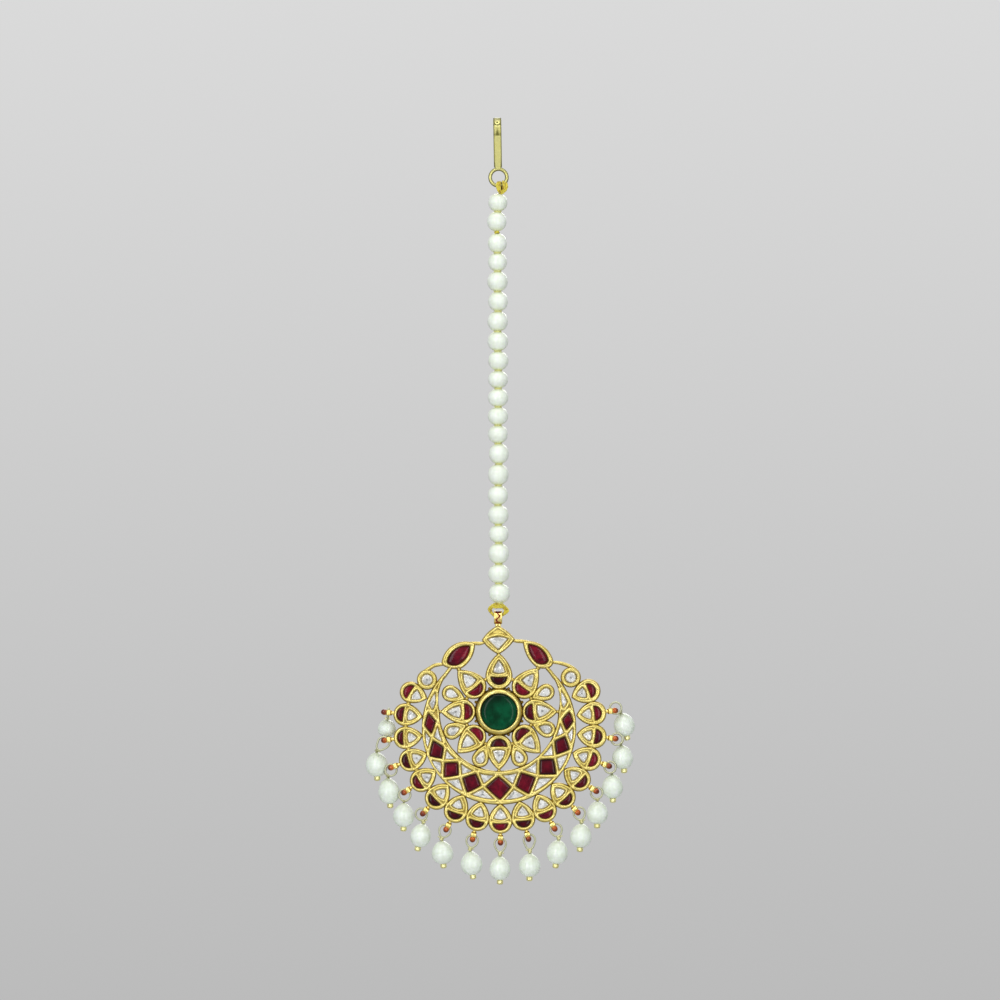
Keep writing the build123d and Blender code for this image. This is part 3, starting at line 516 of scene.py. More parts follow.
# the bow's two strands, its turn in front and the knot that closes it: across, back and up
# from its foot
BOW_STRANDS = [
    [(0.1, 0.0, 2.45), (-0.65, -0.2, 2.3), (-1.4, -0.15, 1.85), (-1.86, 0.0, 1.25), (-1.5, 0.05, 0.62),
     (-0.85, 0.0, 0.06), (0.0, 0.0, 0.0), (0.85, 0.0, 0.04), (1.5, 0.05, 0.42), (2.02, 0.0, 0.95),
     (1.62, -0.15, 1.55), (0.9, -0.2, 2.12), (0.25, 0.0, 2.45)],
    [(0.0, 0.1, 2.3), (-0.7, 0.25, 2.0), (-1.25, 0.3, 1.6), (-1.56, 0.2, 1.18), (-1.36, 0.12, 0.58),
     (-0.85, 0.02, -0.02), (0.0, 0.0, -0.1), (0.85, 0.02, -0.02), (1.34, 0.12, 0.5), (1.56, 0.2, 1.0),
     (1.15, 0.3, 1.55), (0.6, 0.25, 2.0), (0.0, 0.1, 2.35)],
]
BOW_FRONT = [(-1.15, -0.15, 1.82), (-0.6, -0.5, 1.7), (0, -0.66, 1.68), (0.6, -0.5, 1.69), (1.2, -0.15, 1.72)]
BOW_KNOT = [
    (-0.6, 0.0, 1.62), (0.0, -0.6, 1.7), (0.66, 0.0, 1.66), (0.05, 0.45, 1.8), (-0.78, 0.0, 1.88),
    (0.05, -0.66, 1.98), (0.86, 0.0, 1.96), (0.1, 0.5, 2.12), (-0.86, -0.05, 2.16), (-0.1, -0.66, 2.28),
    (0.76, -0.1, 2.26), (0.1, 0.4, 2.4), (-0.5, -0.2, 2.42),
]
bow_foot = np.array([HOOK_X, HANG_Y, BOW_FOOT_Z])
for strand in BOW_STRANDS:
    silk_forms += twist(bow_foot + soft_path(strand, 150), 0.18, 4, HITCH_STRAND, 5)
silk_forms += twist(bow_foot + soft_path(BOW_FRONT, 50), 0.16, 4, FRONT_STRAND, 2)
silk_forms += twist(bow_foot + soft_path(BOW_KNOT, 160), 0.16, 3, KNOT_STRAND, 7)
make_piece("silk_thread", "string", silk, "thread", silk_forms)


# ---------------------------------------------------------------- emerald and its bezel
# A round, bevelled emerald over foil. Its bezel is a broad burnished collar of high-carat
# gold that slopes down to a round base plate, the middle of the pendant.

PENDANT_Z = -123.2
PLATE_BACK = -1.1
EMERALD_RADIUS = 3.85
SEAT_GAP = 0.06
GOLD_WAVE = 0.03

# the third colour is the painted shade of the frame's grooves, sides and notches
gold = metal_finish("kundan_gold", (0.67, 0.565, 0.2), (0.58, 0.47, 0.13), (0.3, 0.195, 0.027), 0.26, 0.42)


def in_face(x, z, out):
    """Row position of points given across, up and out towards the front of the pendant."""
    x, z, out = np.broadcast_arrays(x, z, out)
    return np.stack([x, HANG_Y - out, PENDANT_Z + z], -1)


def hand_wave(x, z, length, seed):
    """Slight unevenness of hand work, -1 to 1: the mean of six sine waves about 'length'
    long that run in different directions."""
    draw = np.random.default_rng(seed)
    angle, phase = draw.uniform(0, 2 * np.pi, (2, 6))
    stretch = 2 * np.pi / length * draw.uniform(0.7, 1.4, 6)
    waves = [np.sin(k * (x * np.cos(a) + z * np.sin(a)) + p) for k, a, p in zip(stretch, angle, phase)]
    return np.mean(waves, axis=0) * 1.6


# the bezel's outline (radius, height) from the stone's seat over the collar and round the back
bezel_profile = np.array(
    [
        (3.62, 0.9), (3.72, 1.35), (3.82, 1.6), (3.93, 1.72), (4.05, 1.76), (4.2, 1.73), (4.36, 1.66),
        (4.5, 1.56), (4.62, 1.42), (4.71, 1.22), (4.77, 0.95), (4.81, 0.6), (4.83, 0.3), (4.84, 0.1),
        (5.1, 0), (5.1, -0.9), (5, -1.08), (4.7, PLATE_BACK), (2, PLATE_BACK), (0.1, PLATE_BACK),
        (0.03, PLATE_BACK), (0.03, 0.2), (3.5, 0.3),
    ]
)
bezel_radius, bezel_level = bezel_profile.T
angle = np.linspace(0, 2 * np.pi, 145)[:, None]
ring_x, ring_z = np.cos(angle) * bezel_radius, np.sin(angle) * bezel_radius
ring_out = bezel_level + 0.035 * hand_wave(ring_x, ring_z, 1.6, 3) * np.clip(bezel_level, 0, 1)
# painted shade on the bezel: darker at the stone's seat, down the outer slope and round the base plate
bezel_painted_shade = np.interp(bezel_radius, [3.6, 3.8, 4.6, 4.78, 4.9], [0.6, 0, 0, 0.5, 1])
bezel = in_face(ring_x, ring_z, ring_out), bezel_painted_shade
make_piece("emerald_bezel", "pendant", gold, "frame", [bezel])


def gem_finish(name, dark, bright, cloud_scale, cloudy, density):
    """Foil-backed stone: dark and bright clouds of one hue under a clear polished top, deeper
    towards the girdle, where the foil lies in shade."""
    finish = Finish(name, IOR=density)
    clouds = finish.sharpen(finish.cloud(cloud_scale, 4.0, (1, 1, 1), 0.6), 0.5 - cloudy, 0.5 + cloudy)
    colour = finish.blend(clouds, dark, bright)
    colour = finish.blend(finish.note(), colour, tuple(0.25 * c for c in dark))
    flaws = finish.cloud(cloud_scale * 6, 2.0)
    rough = 0.05 + 0.12 * flaws
    return finish.set(Base_Color=colour, Roughness=rough, Normal=finish.relief(flaws, 0.00003, 0.25))


emerald_green = gem_finish("emerald_green", (0.0003, 0.016, 0.005), (0.002, 0.115, 0.045), 300.0, 0.26, 1.2)


def domed_stone(outline, middle, floor, girdle, bevel, rise, dome, roundness=2):
    """Stone over an outline: straight sides to the girdle, a bevel that rises 'rise' over an
    inset share 'bevel', then a dome of height 'dome' over the rest, 1 - share ** roundness.
    Returns flat points, their heights and how deep in shade they are."""
    share = np.array([1, 1, 1, 1 - bevel * 0.5, 1 - bevel])
    level = np.array([floor, girdle - 0.1, girdle, girdle + rise * 0.6, girdle + rise])
    inner = np.linspace(1, 0.06, 8 if roundness == 2 else 20)[1:]
    share = np.concatenate([share, inner * (1 - bevel)])
    level = np.concatenate([level, girdle + rise + dome * (1 - inner**roundness)])
    points = middle + (outline - middle) * share[:, None, None]
    shade = np.interp(share, [0, 1 - bevel, 1], [0, 0.25, 1])
    return points, level[:, None], shade[:, None]


def round_outline(radius, points):
    """Circle about the origin."""
    turn = even_turn(points)
    return radius * np.stack([np.cos(turn), np.sin(turn)], -1)


emerald_outline = round_outline(EMERALD_RADIUS - SEAT_GAP, 96)
points, out, emerald_shade = domed_stone(emerald_outline, np.zeros(2), 0.2, 1.42, 0.07, 0.24, 0.32, 8)
# painted light and shade: the stone is painted lighter low down and to the right, and darker towards the
# girdle
emerald_shade = np.clip(0.8 * emerald_shade + 0.22 + 0.11 * points[..., 1] - 0.05 * points[..., 0], 0, 1)
emerald_form = in_face(points[..., 0], points[..., 1], out), emerald_shade
make_piece("emerald_stone", "pendant", emerald_green, "emerald", [emerald_form])


# ---------------------------------------------------------------- rosette petals
# Eight leaf-shaped cells round the bezel, tips outwards, soldered side by side. Gold foil is
# burnished into a raised collar round each stone: a ruby half-moon and a flat-cut diamond.

PETAL_RING = 7.45
PETAL_REACH = 4.72
PETAL_LEAN = 12
PETAL_MIDDLE = [0, 0.45]
STONE_FLOOR = 0.15
FIELD_LEVEL = 0.84
RIDGE_HEIGHT = 0.24
# direction of each petal, radius of its round end, extra turn of its tip, turn of its stones
# (degrees), how far its ruby is set from the tip, how deep in colour, size of its diamond
ROSETTE_PETALS = [
    (0, 2.58, 0, 7, 0.22, 0.5, 1.12),
    (45, 2.56, 8, 8, 0.12, 0.1, 1.06),
    (90, 2.74, 0, 0, 0.05, 0.75, 1.06),
    (135, 2.58, 0, -6, 0.20, 0.1, 1.16),
    (180, 2.54, 0, 0, 0.12, 0.2, 1.12),
    (225, 2.54, 0, -3, 0.30, 0.0, 1.08),
    (270, 2.66, 0, 0, 0.00, 0.55, 1.10),
    (315, 2.58, 0, -3, 0.10, 0.35, 1.12),
]


def bowed_outline(corners, steps):
    """Closed shape from (x, z, bow) corners, anticlockwise. Each side is the circular arc whose
    middle stands 'bow' outside the straight line to the next corner."""
    rows = np.array(corners, float)
    start, end = rows[:, None, :2], np.roll(rows[:, :2], -1, axis=0)[:, None]
    chord = end - start
    length = np.linalg.norm(chord, axis=-1)
    bow = np.where(np.abs(rows[:, 2:]) < 1e-4, 1e-4, rows[:, 2:])
    half = 2 * np.arctan(2 * bow / length)
    turn = half * np.linspace(-1, 1, steps, endpoint=False)
    radius = length / 2 / np.sin(half)
    along = radius * np.sin(turn) / length + 0.5
    out = radius * (np.cos(turn) - np.cos(half))
    normal = np.stack([chord[..., 1], -chord[..., 0]], -1) / length[..., None]
    return (start + chord * along[..., None] + normal * out[..., None]).reshape(-1, 2)


def leaf_outline(radius, reach, lean, steps=26):
    """Round end about the origin and two bowed sides that leave it 'lean' degrees up and meet
    in a tip 'reach' up; each side is an arc tangent to the round end."""
    lift = np.radians(lean)
    extra = (reach**2 - radius**2) / (2 * (radius - reach * np.sin(lift)))
    centre = -extra * np.array([np.cos(lift), np.sin(lift)])
    tip_angle = np.arctan2(reach - centre[1], -centre[0])
    right = arc(centre, radius + extra, lift, tip_angle, steps)
    left = right[::-1][1:] * [-1, 1]
    foot = arc((0, 0), radius, np.pi - lift, 2 * np.pi + lift, steps * 2)[1:-1]
    return np.concatenate([right, left, foot])


def depth_in(outline, points):
    """Distance from points to a closed outline, positive inside it."""
    start, edge = outline, np.roll(outline, -1, axis=0) - outline
    rel = points[..., None, :] - start
    share = np.clip(np.sum(rel * edge, -1) / np.sum(edge * edge, -1), 0, 1)
    gap = np.linalg.norm(rel - edge * share[..., None], axis=-1).min(-1)
    end_z = start[:, 1] + edge[:, 1]
    z = points[..., None, 1]
    spans = (start[:, 1] > z) != (end_z > z)
    slope = np.where(np.abs(edge[:, 1]) < 1e-9, 1e-9, edge[:, 1])
    crosses = spans & (points[..., None, 0] < start[:, 0] + edge[:, 0] * (z - start[:, 1]) / slope)
    return np.where(crosses.sum(-1) % 2 == 1, gap, -gap)


def nearest_stone(stones, points):
    """Depth inside the nearest stone, negative outside; far points are left at -2."""
    depth = np.full(points.shape[:-1], -2.0)
    for stone in stones:
        near = np.all((points > stone.min(0) - 1.2) & (points < stone.max(0) + 1.2), axis=-1)
        depth[near] = np.maximum(depth[near], depth_in(stone, points[near]))
    return depth


def burnished_level(edge, stone, rim_width, collar_width):
    """Height of the gold. It stands 1 - u^2 over each ridge, with u from -1 to 1 across it: the
    rim just inside the outer edge and the collar just outside each stone. Between them is a
    groove, and inside the stones it falls away under them. Also returns its painted shade,
    darker off the ridges and where the gold falls away under the stones."""
    gaps = (edge, rim_width), (-stone, collar_width)
    ridges = [1 - (gap / (width / 2) - 1) ** 2 for gap, width in gaps]
    ridge = np.clip(np.maximum(*ridges), 0, 1)
    fall = np.clip(stone / 0.25, 0, 1) ** 1.3
    # painted shade: darker off the ridges and where the gold falls away under the stones
    hollow = np.clip(0.7 * (1 - ridge) ** 1.5 + 0.9 * fall, 0, 1)
    return FIELD_LEVEL + RIDGE_HEIGHT * ridge - 0.45 * fall, hollow


def heading(degrees):
    """Unit step (x, z) in a direction, anticlockwise from the right."""
    return np.array([np.cos(np.radians(degrees)), np.sin(np.radians(degrees))])


def turn_in_face(points, degrees, spot):
    """Turns points anticlockwise in the face, then moves them to a spot."""
    c, s = heading(degrees)
    x, z = points[..., 0], points[..., 1]
    return spot[0] + c * x - s * z, spot[1] + s * x + c * z


def turn_flat(points, degrees):
    """Turns flat points anticlockwise about the origin."""
    return np.stack(turn_in_face(points, degrees, (0, 0)), -1)


CELL_RIM = 0.62
CELL_COLLAR = 0.52
# the sides of a cell: how far outside its outline, and the height; then the shares of its
# outline at which its back has points, and the painted shade of all of these, darkest high on
# the sides
CELL_SIDES = [(0.05, 0.62), (0.09, 0.3), (0.1, -0.4), (0.08, -0.95), (0, PLATE_BACK)]
BACK_SHARES = (0.6, 0.2)
SHELL_PAINTED_SHADE = np.array([0.75, 0.9, 0.7, 0.5, 0.3, 0.2, 0.2])


def cell_form(outline, middle, stones, turn, spot, seed, rows=34):
    """A closed gold cell: a front that runs from a middle point out to the outline in even
    shares, at the burnished level, then sloping sides and a flat back. It is then turned and
    moved to its spot in the face. Also returns its painted shade."""
    reach = outline - middle
    flat = middle + reach * np.linspace(0.02, 1, rows)[:, None, None]
    stone = nearest_stone(stones, flat)
    level, hollow = burnished_level(depth_in(outline, flat), stone, CELL_RIM, CELL_COLLAR)
    across, up = turn_in_face(flat, turn, spot)
    level = level + GOLD_WAVE * hand_wave(across, up, 1.3, seed) * (stone < 0)
    width = np.linalg.norm(reach, axis=-1)[:, None]
    shares = [1 + grow / width for grow, _ in CELL_SIDES]
    shares += [share + 0 * width for share in BACK_SHARES]
    shell = turn_in_face(middle + reach * np.stack(shares), turn, spot)
    shell_out = np.array([out for _, out in CELL_SIDES] + [PLATE_BACK] * len(BACK_SHARES))
    form = np.concatenate([in_face(across, up, level), in_face(*shell, shell_out[:, None])])
    return form, np.concatenate([hollow, np.broadcast_to(SHELL_PAINTED_SHADE[:, None], shell[0].shape)])


def half_moon(half_width, depth, dip, chord):
    """Half-moon: its round side 'depth' down, and a chord above that sags by 'dip'."""
    return bowed_outline([(-half_width, chord, depth), (half_width, chord, -dip)], 32)


def three_corners(half_width, foot, tip, foot_bow, side_bow):
    """Three-cornered stone with its foot down and its tip up."""
    corners = [(-half_width, foot, foot_bow), (half_width, foot, side_bow), (0, tip, side_bow)]
    return bowed_outline(corners, 14)


def set_in_face(points, out, turn, spot):
    """Turns flat points in the face, moves them to their spot and raises them by 'out'."""
    return in_face(*turn_in_face(points, turn, spot), out)


def set_ruby(outline, cut, deep, turn=0, spot=(0, 0)):
    """A ruby cut to (girdle, bevel, rise, dome) and set in its cell, 'deep' deeper in colour."""
    points, out, shade = domed_stone(outline, outline.mean(0), STONE_FLOOR, *cut)
    return set_in_face(points, out, turn, spot), np.clip(shade + deep, 0, 1)


# rings of a flat-cut stone from its floor to the middle of its table: share of the outline,
# height, and how much the crook of the table moves it
POLKI_SHARES = np.array([1, 1, 0.93, 0.74, 0.72, 0.3, 0.22, 0.08])
POLKI_LEVELS = np.array([STONE_FLOOR, 0.66, 0.76, 0.93, 0.935, 0.94, 0.945, 0.95])
POLKI_CROOK = np.array([0, 0, 0.3, 0.8, 0.8, 0.3, 0.2, 0.1])


def set_polki(outline, seed, turn=0, spot=(0, 0), middle=None):
    """Flat-cut stone set in its cell: a girdle, a bevel in facets and a slightly crooked table
    over a small point. The notes are painted light and shade from 0, bright, to 1: a dark
    girdle, each facet its own tone, and the point under the table pale or dark."""
    draw = np.random.default_rng(seed)
    middle = outline.mean(0) if middle is None else np.array(middle)
    points = middle + (outline - middle) * POLKI_SHARES[:, None, None]
    angle = np.arctan2(outline[:, 1] - middle[1], outline[:, 0] - middle[0])
    tilt = 0.04 * np.sin(angle + draw.uniform(0, 2 * np.pi))
    out = POLKI_LEVELS[:, None] + tilt * POLKI_CROOK[:, None]
    steps = np.floor((angle / (2 * np.pi) + draw.uniform()) * 6).astype(int) % 16
    facet = draw.uniform(0, 1, 16)[steps] ** 1.5
    table = 0.7 * draw.uniform(0, 1, 16)[steps] ** 2
    point = draw.choice([0, 0.1, 0.25, 0.95])
    painted_facet_light = [0.9, 0.9, 0.25 + 0.7 * facet, 0.7 * facet, table, table, 0.4 * point, point]
    return set_in_face(points, out, turn, spot), np.stack(np.broadcast_arrays(*painted_facet_light))


def solder_ball(x, z, out, radius, dark):
    """A ball of solder or a granule: most of a half circle turned about the way out; 'dark' is
    its painted shade.
    """
    ball = arc((0, 0), radius, -1.4, 1.4, 11)
    return turned_form(ball, in_face(x, z, out), (0, -1, 0), (1, 0, 0), 18), dark


ruby_red = gem_finish("ruby_red", (0.065, 0.001, 0.009), (0.27, 0.006, 0.024), 420.0, 0.2, 1.25)


def diamond_finish():
    """Flat-cut diamond over silver foil: facets from silvery white to grey, each with its own
    tone painted in as light and shade, dark specks, and a faint crumple of the foil."""
    polish = {"Coat_Weight": 0.6, "Coat_Roughness": 0.03, "Coat_IOR": 1.7}
    finish = Finish("polki_foil", Metallic=0.35, IOR=1.9, **polish)
    specks = finish.sharpen(finish.cloud(1100.0, 4.0, (1, 1, 0.6), 1.2), 0.5, 0.72)
    # painted light and shade: each facet's tone comes from the note
    colour = finish.blend(finish.note(), (0.92, 0.93, 0.91), (0.2, 0.205, 0.2))
    colour = finish.blend(0.75 * specks, colour, (0.22, 0.23, 0.23))
    crumple = finish.cloud(1900.0, 2.0)
    rough = 0.14 + 0.16 * specks
    return finish.set(Base_Color=colour, Roughness=rough, Normal=finish.relief(crumple, 0.00012, 0.5))


polki_foil = diamond_finish()

MOON_CUT = (0.68, 0.2, 0.14, 0.12)
petal_ruby = half_moon(1.7, 1.72, 0.12, -0.1)
petal_polki = three_corners(1.2, 0.76, 3.22, 0.25, 0.24)
petals, petal_rubies, petal_polkis = [], [], []
for number, (direction, round_end, tip_turn, turn, drop, deep, size) in enumerate(ROSETTE_PETALS):
    place = direction - 90, PETAL_RING * heading(direction)
    leaf = turn_flat(leaf_outline(round_end, PETAL_REACH, PETAL_LEAN), tip_turn)
    ruby = turn_flat(petal_ruby - [0, drop], turn)
    polki = turn_flat((petal_polki - [0, 1.6]) * size + [0, 1.62], turn)
    petals.append(cell_form(leaf, PETAL_MIDDLE, [ruby, polki], *place, 20 + number))
    petal_rubies.append(set_ruby(ruby, MOON_CUT, deep, *place))
    petal_polkis.append(set_polki(polki, 40 + number, *place))
# granules that fill the notches between the petals and the bezel, and the solder further out:
# distance from the middle, height, radius and how dark in painted shade, darkest on the
# granules deep in the notches
GRANULES = [(5.2, -0.1, 0.32, 1), (7.25, 0.5, 0.45, 0.45)]
for direction in np.arange(22.5, 360, 45):
    petals += [solder_ball(*ring * heading(direction), *rest) for ring, *rest in GRANULES]
make_piece("rosette_petals", "pendant", gold, "frame", petals)
make_piece("rosette_rubies", "pendant", ruby_red, "inner_rubies", petal_rubies)
make_piece("rosette_polkis_cut", "pendant", polki_foil, "rosette_polkis", petal_polkis, smooth=False)


# ---------------------------------------------------------------- filler drops
# Six small gold drops tucked between the petals with their tips inwards, each with one
# flat-cut diamond of the same outline burnished into it.

FILLER_RING = 10.65
FILLER_MIDDLE = [0, 0.3]
# direction of each drop and its shift (x, z)
FILLERS = [
    (22.5, 0.00, 0.00),
    (158.5, -0.25, -0.08),
    (202.5, 0.00, 0.00),
    (248.5, 0.00, 0.05),
    (293.5, 0.05, 0.05),
    (340.0, 0.05, -0.05),
]

filler_outline = leaf_outline(1.68, 3.28, 10, 20)
filler_polki = leaf_outline(0.98, 1.85, 10, 12)
fillers, filler_polkis = [], []
for number, (direction, *shift) in enumerate(FILLERS):
    place = direction + 90, FILLER_RING * heading(direction) + shift
    fillers.append(cell_form(filler_outline, FILLER_MIDDLE, [filler_polki], *place, 60 + number, 26))
    filler_polkis.append(set_polki(filler_polki, 70 + number, *place, FILLER_MIDDLE))
make_piece("filler_drops", "pendant", gold, "frame", fillers)
make_piece("filler_polkis_cut", "pendant", polki_foil, "rosette_polkis", filler_polkis, smooth=False)


# ---------------------------------------------------------------- crescent
# A crescent plate that cradles the rosette. Thin upright gold walls divide it into nine
# square-set rubies with diamonds wedged between their corners, and a diamond in each horn.

CRESCENT_MIDDLE = np.array([0, -1.5])
CRESCENT_OUTER = 16.0
CRESCENT_OUTER_Z = -3.3
CRESCENT_INNER = 12.4
HORN_TIP = (10.7, 8.6)
HORN_WIDTH = 0.55
LATTICE_WALL = 0.36
LATTICE_RIM = 0.56
LATTICE_COLLAR = 0.72
SQUARE_CUT = (0.66, 0.3, 0.16, 0.05)
# each ruby's inner corner and outer corner (x, z), from the left horn to the right
RUBY_CORNERS = [
    ((-12.75, -1.9), (-15.85, -2.9)),
    ((-11.15, -7.2), (-14.95, -9.5)),
    ((-8.25, -10.15), (-11.8, -14.1)),
    ((-4.6, -12.4), (-6.85, -17.4)),
    ((-0.1, -12.95), (0.2, -18.9)),
    ((4.4, -12.25), (6.4, -17.7)),
    ((8.2, -9.6), (12.35, -13.4)),
    ((11.25, -5.9), (15.15, -8.1)),
    ((12.75, -1.6), (15.85, -2.1)),
]
# how deep the colour of each is
RUBY_DEPTHS = [0.2, 0.35, 0.15, 0.2, 0.0, 0.15, 0.5, 0.35, 0.2]
# the ten points (x, z) where neighbouring rubies meet
RUBY_JOINTS = [
    (-14.9, 0.5), (-13.95, -5.4), (-11.65, -10.25), (-8.05, -13.55), (-3.3, -15.6),
    (3.05, -15.7), (8.1, -13.45), (11.65, -9.45), (13.95, -4.6), (14.75, 0.75),
]
LEFT_HORN_STONE = [(-13.3, 4.0, 0.1), (-14.55, 1.7, 0.1), (-13.8, 0.4, 0.05), (-13.15, 2.2, 0.05)]
RIGHT_HORN_STONE = [(12.85, 4.5, 0.0), (12.9, 2.2, 0.05), (13.45, 0.8, 0.1), (14.2, 2.1, 0.1)]


def inset_corners(corners, amount):
    """Corners of a convex shape with every side moved inwards: each new corner is where the
    moved lines n.p = n.p0 + amount of two neighbouring sides cross."""
    start = np.array(corners, float)
    side = np.roll(start, -1, axis=0) - start
    normal = np.stack([-side[:, 1], side[:, 0]], -1) / np.linalg.norm(side, axis=1)[:, None]
    offset = np.sum(normal * start, axis=1) + amount
    pairs = np.stack([np.roll(normal, 1, axis=0), normal], 1)
    return np.linalg.solve(pairs, np.stack([np.roll(offset, 1), offset], 1)[..., None])[..., 0]


def walled(corners, bows):
    """Outline of the stone that lies between walls along some corners, its sides bowed."""
    return bowed_outline(np.column_stack([inset_corners(corners, LATTICE_WALL), bows]), 16)


ruby_outlines, polki_outlines = [], []
for number, (inner, outer) in enumerate(RUBY_CORNERS):
    before, after = RUBY_JOINTS[number : number + 2]
    ruby_outlines.append(walled([before, outer, after, inner], [0.08] * 4))
    if number:
        last_inner, last_outer = RUBY_CORNERS[number - 1]
        polki_outlines.append(walled([last_inner, before, inner], [0.05, 0.05, -0.1]))
        polki_outlines.append(walled([before, last_outer, outer], [0.05, 0.2, 0.05]))
polki_outlines += [bowed_outline(LEFT_HORN_STONE, 16), bowed_outline(RIGHT_HORN_STONE, 16)]

horn_turn = np.arctan2(HORN_TIP[1] - CRESCENT_OUTER_Z, HORN_TIP[0])
outer_edge = arc((0, CRESCENT_OUTER_Z), CRESCENT_OUTER, np.pi - horn_turn, 2 * np.pi + horn_turn, 200)
horn_corner = (HORN_TIP[0] - HORN_WIDTH, HORN_TIP[1])
horn_inside = bowed_outline([(*horn_corner, -1.2), (CRESCENT_INNER, 0, 0)], 30)[:30]
cradle = arc((0, 0), CRESCENT_INNER, np.pi, 2 * np.pi, 120)[:-1]
inner_edge = [horn_inside * [-1, 1], cradle, [(CRESCENT_INNER, 0)], horn_inside[:0:-1], [horn_corner]]
inner_edge = np.concatenate(inner_edge)


def spread_edge(edge, rows):
    """The edge read again at even steps of direction from the crescent's middle."""
    rel = edge - CRESCENT_MIDDLE
    direction = np.unwrap(np.arctan2(rel[:, 1], rel[:, 0]))
    even = np.linspace(direction[0], direction[-1], rows)
    reach = np.interp(even, direction, np.linalg.norm(rel, axis=1))
    return CRESCENT_MIDDLE + reach[:, None] * np.stack([np.cos(even), np.sin(even)], -1)


CRESCENT_ROWS = 560
BACK_COLUMNS = 8
# the side and back of the section: how far outside the inner or outer line, and the height
INNER_SIDE = [(-0.06, 0.6), (-0.1, 0.2), (-0.1, -0.6), (-0.02, -1.02)]
OUTER_SIDE = [(-grow, out) for grow, out in INNER_SIDE[::-1]]
outer_line = spread_edge(outer_edge, CRESCENT_ROWS)[:, None]
inner_line = spread_edge(inner_edge, CRESCENT_ROWS)[:, None]
inwards = inner_line - outer_line
outward = unit(-inwards)
front = outer_line + inwards * np.linspace(0, 1, 58)[:, None]
edge_depth = depth_in(np.concatenate([outer_edge, inner_edge[::-1]]), front)
stone_depth = nearest_stone(ruby_outlines + polki_outlines, front)
level, hollow = burnished_level(edge_depth, stone_depth, LATTICE_RIM, LATTICE_COLLAR)
level += GOLD_WAVE * hand_wave(front[..., 0], front[..., 1], 1.5, 90) * (stone_depth < 0)
inner_side = [inner_line + outward * grow for grow, _ in INNER_SIDE]
outer_side = [outer_line + outward * grow for grow, _ in OUTER_SIDE]
back = outer_line + inwards * np.linspace(0.95, 0.05, BACK_COLUMNS)[:, None]
section = np.concatenate([front, *inner_side, back, *outer_side], axis=1)
shell_out = [out for _, out in INNER_SIDE] + [PLATE_BACK] * BACK_COLUMNS + [out for _, out in OUTER_SIDE]
shell_shape = CRESCENT_ROWS, len(shell_out)
section_out = np.concatenate([level, np.broadcast_to(shell_out, shell_shape)], axis=1)
# painted shade: half of it all over the sides and back
section_painted_shade = np.concatenate([hollow, np.full(shell_shape, 0.5)], axis=1)
crescent = in_face(section[..., 0], section[..., 1], section_out), section_painted_shade
rubies = [set_ruby(outline, SQUARE_CUT, deep) for outline, deep in zip(ruby_outlines, RUBY_DEPTHS)]
polkis = [set_polki(outline, 110 + number) for number, outline in enumerate(polki_outlines)]
make_piece("crescent_lattice", "pendant", gold, "frame", [crescent])
make_piece("crescent_rubies", "pendant", ruby_red, "inner_rubies", rubies)
make_piece("crescent_polkis_cut", "pendant", polki_foil, "crescent_polkis", polkis, smooth=False)


# ---------------------------------------------------------------- border petals
# Seventeen leaf cells set round the crescent with their tips on its rim, each with a ruby
# half-moon in its round outer end and a three-cornered diamond towards the tip.

BORDER_MIDDLE = np.array([0.15, -3.0])
BORDER_RING = 19.9
BORDER_PITCH = 13.9
BORDER_START = 270.4
BORDER_REACH = 3.73
BORDER_LEAN = 8
# the solder between two petals: distance from the middle, height, radius and how dark in painted shade
JOINT_RING = 19.6
JOINT_BALL = (0.42, 0.52, 0.25)
# each petal from the left end to the right: turn of its stones (degrees), radius of its round
# end, how far its ruby is set towards the tip, the ruby's depth, how deep its colour is and
# the size of its diamond
BORDER_PETALS = [
    (-11, 2.14, 0.36, 1.44, 0.10, 1.04),
    (-1, 2.30, 0.05, 1.46, 0.30, 1.02),
    (-5, 2.28, 0.00, 1.24, 0.50, 1.00),
    (-3, 2.32, -0.05, 1.44, 0.60, 1.04),
    (-2, 2.32, 0.00, 1.46, 0.40, 1.06),
    (-4, 2.40, 0.00, 1.44, 0.70, 1.06),
    (9, 2.42, 0.00, 1.44, 0.65, 1.02),
    (-1, 2.44, 0.00, 1.50, 0.60, 1.08),
    (0, 2.44, 0.00, 1.50, 0.20, 1.20),
    (-9, 2.44, -0.04, 1.46, 0.60, 1.10),
    (-7, 2.42, -0.04, 1.44, 0.00, 1.08),
    (1, 2.42, 0.00, 1.46, 0.55, 1.04),
    (-11, 2.42, 0.05, 1.48, 0.50, 1.04),
    (0, 2.42, 0.10, 1.46, 0.10, 1.04),
    (-3, 2.42, 0.30, 1.50, 0.25, 1.02),
    (-1, 2.42, 0.36, 1.50, 0.30, 1.04),
    (-2, 2.42, 0.36, 1.50, 0.15, 1.04),
]

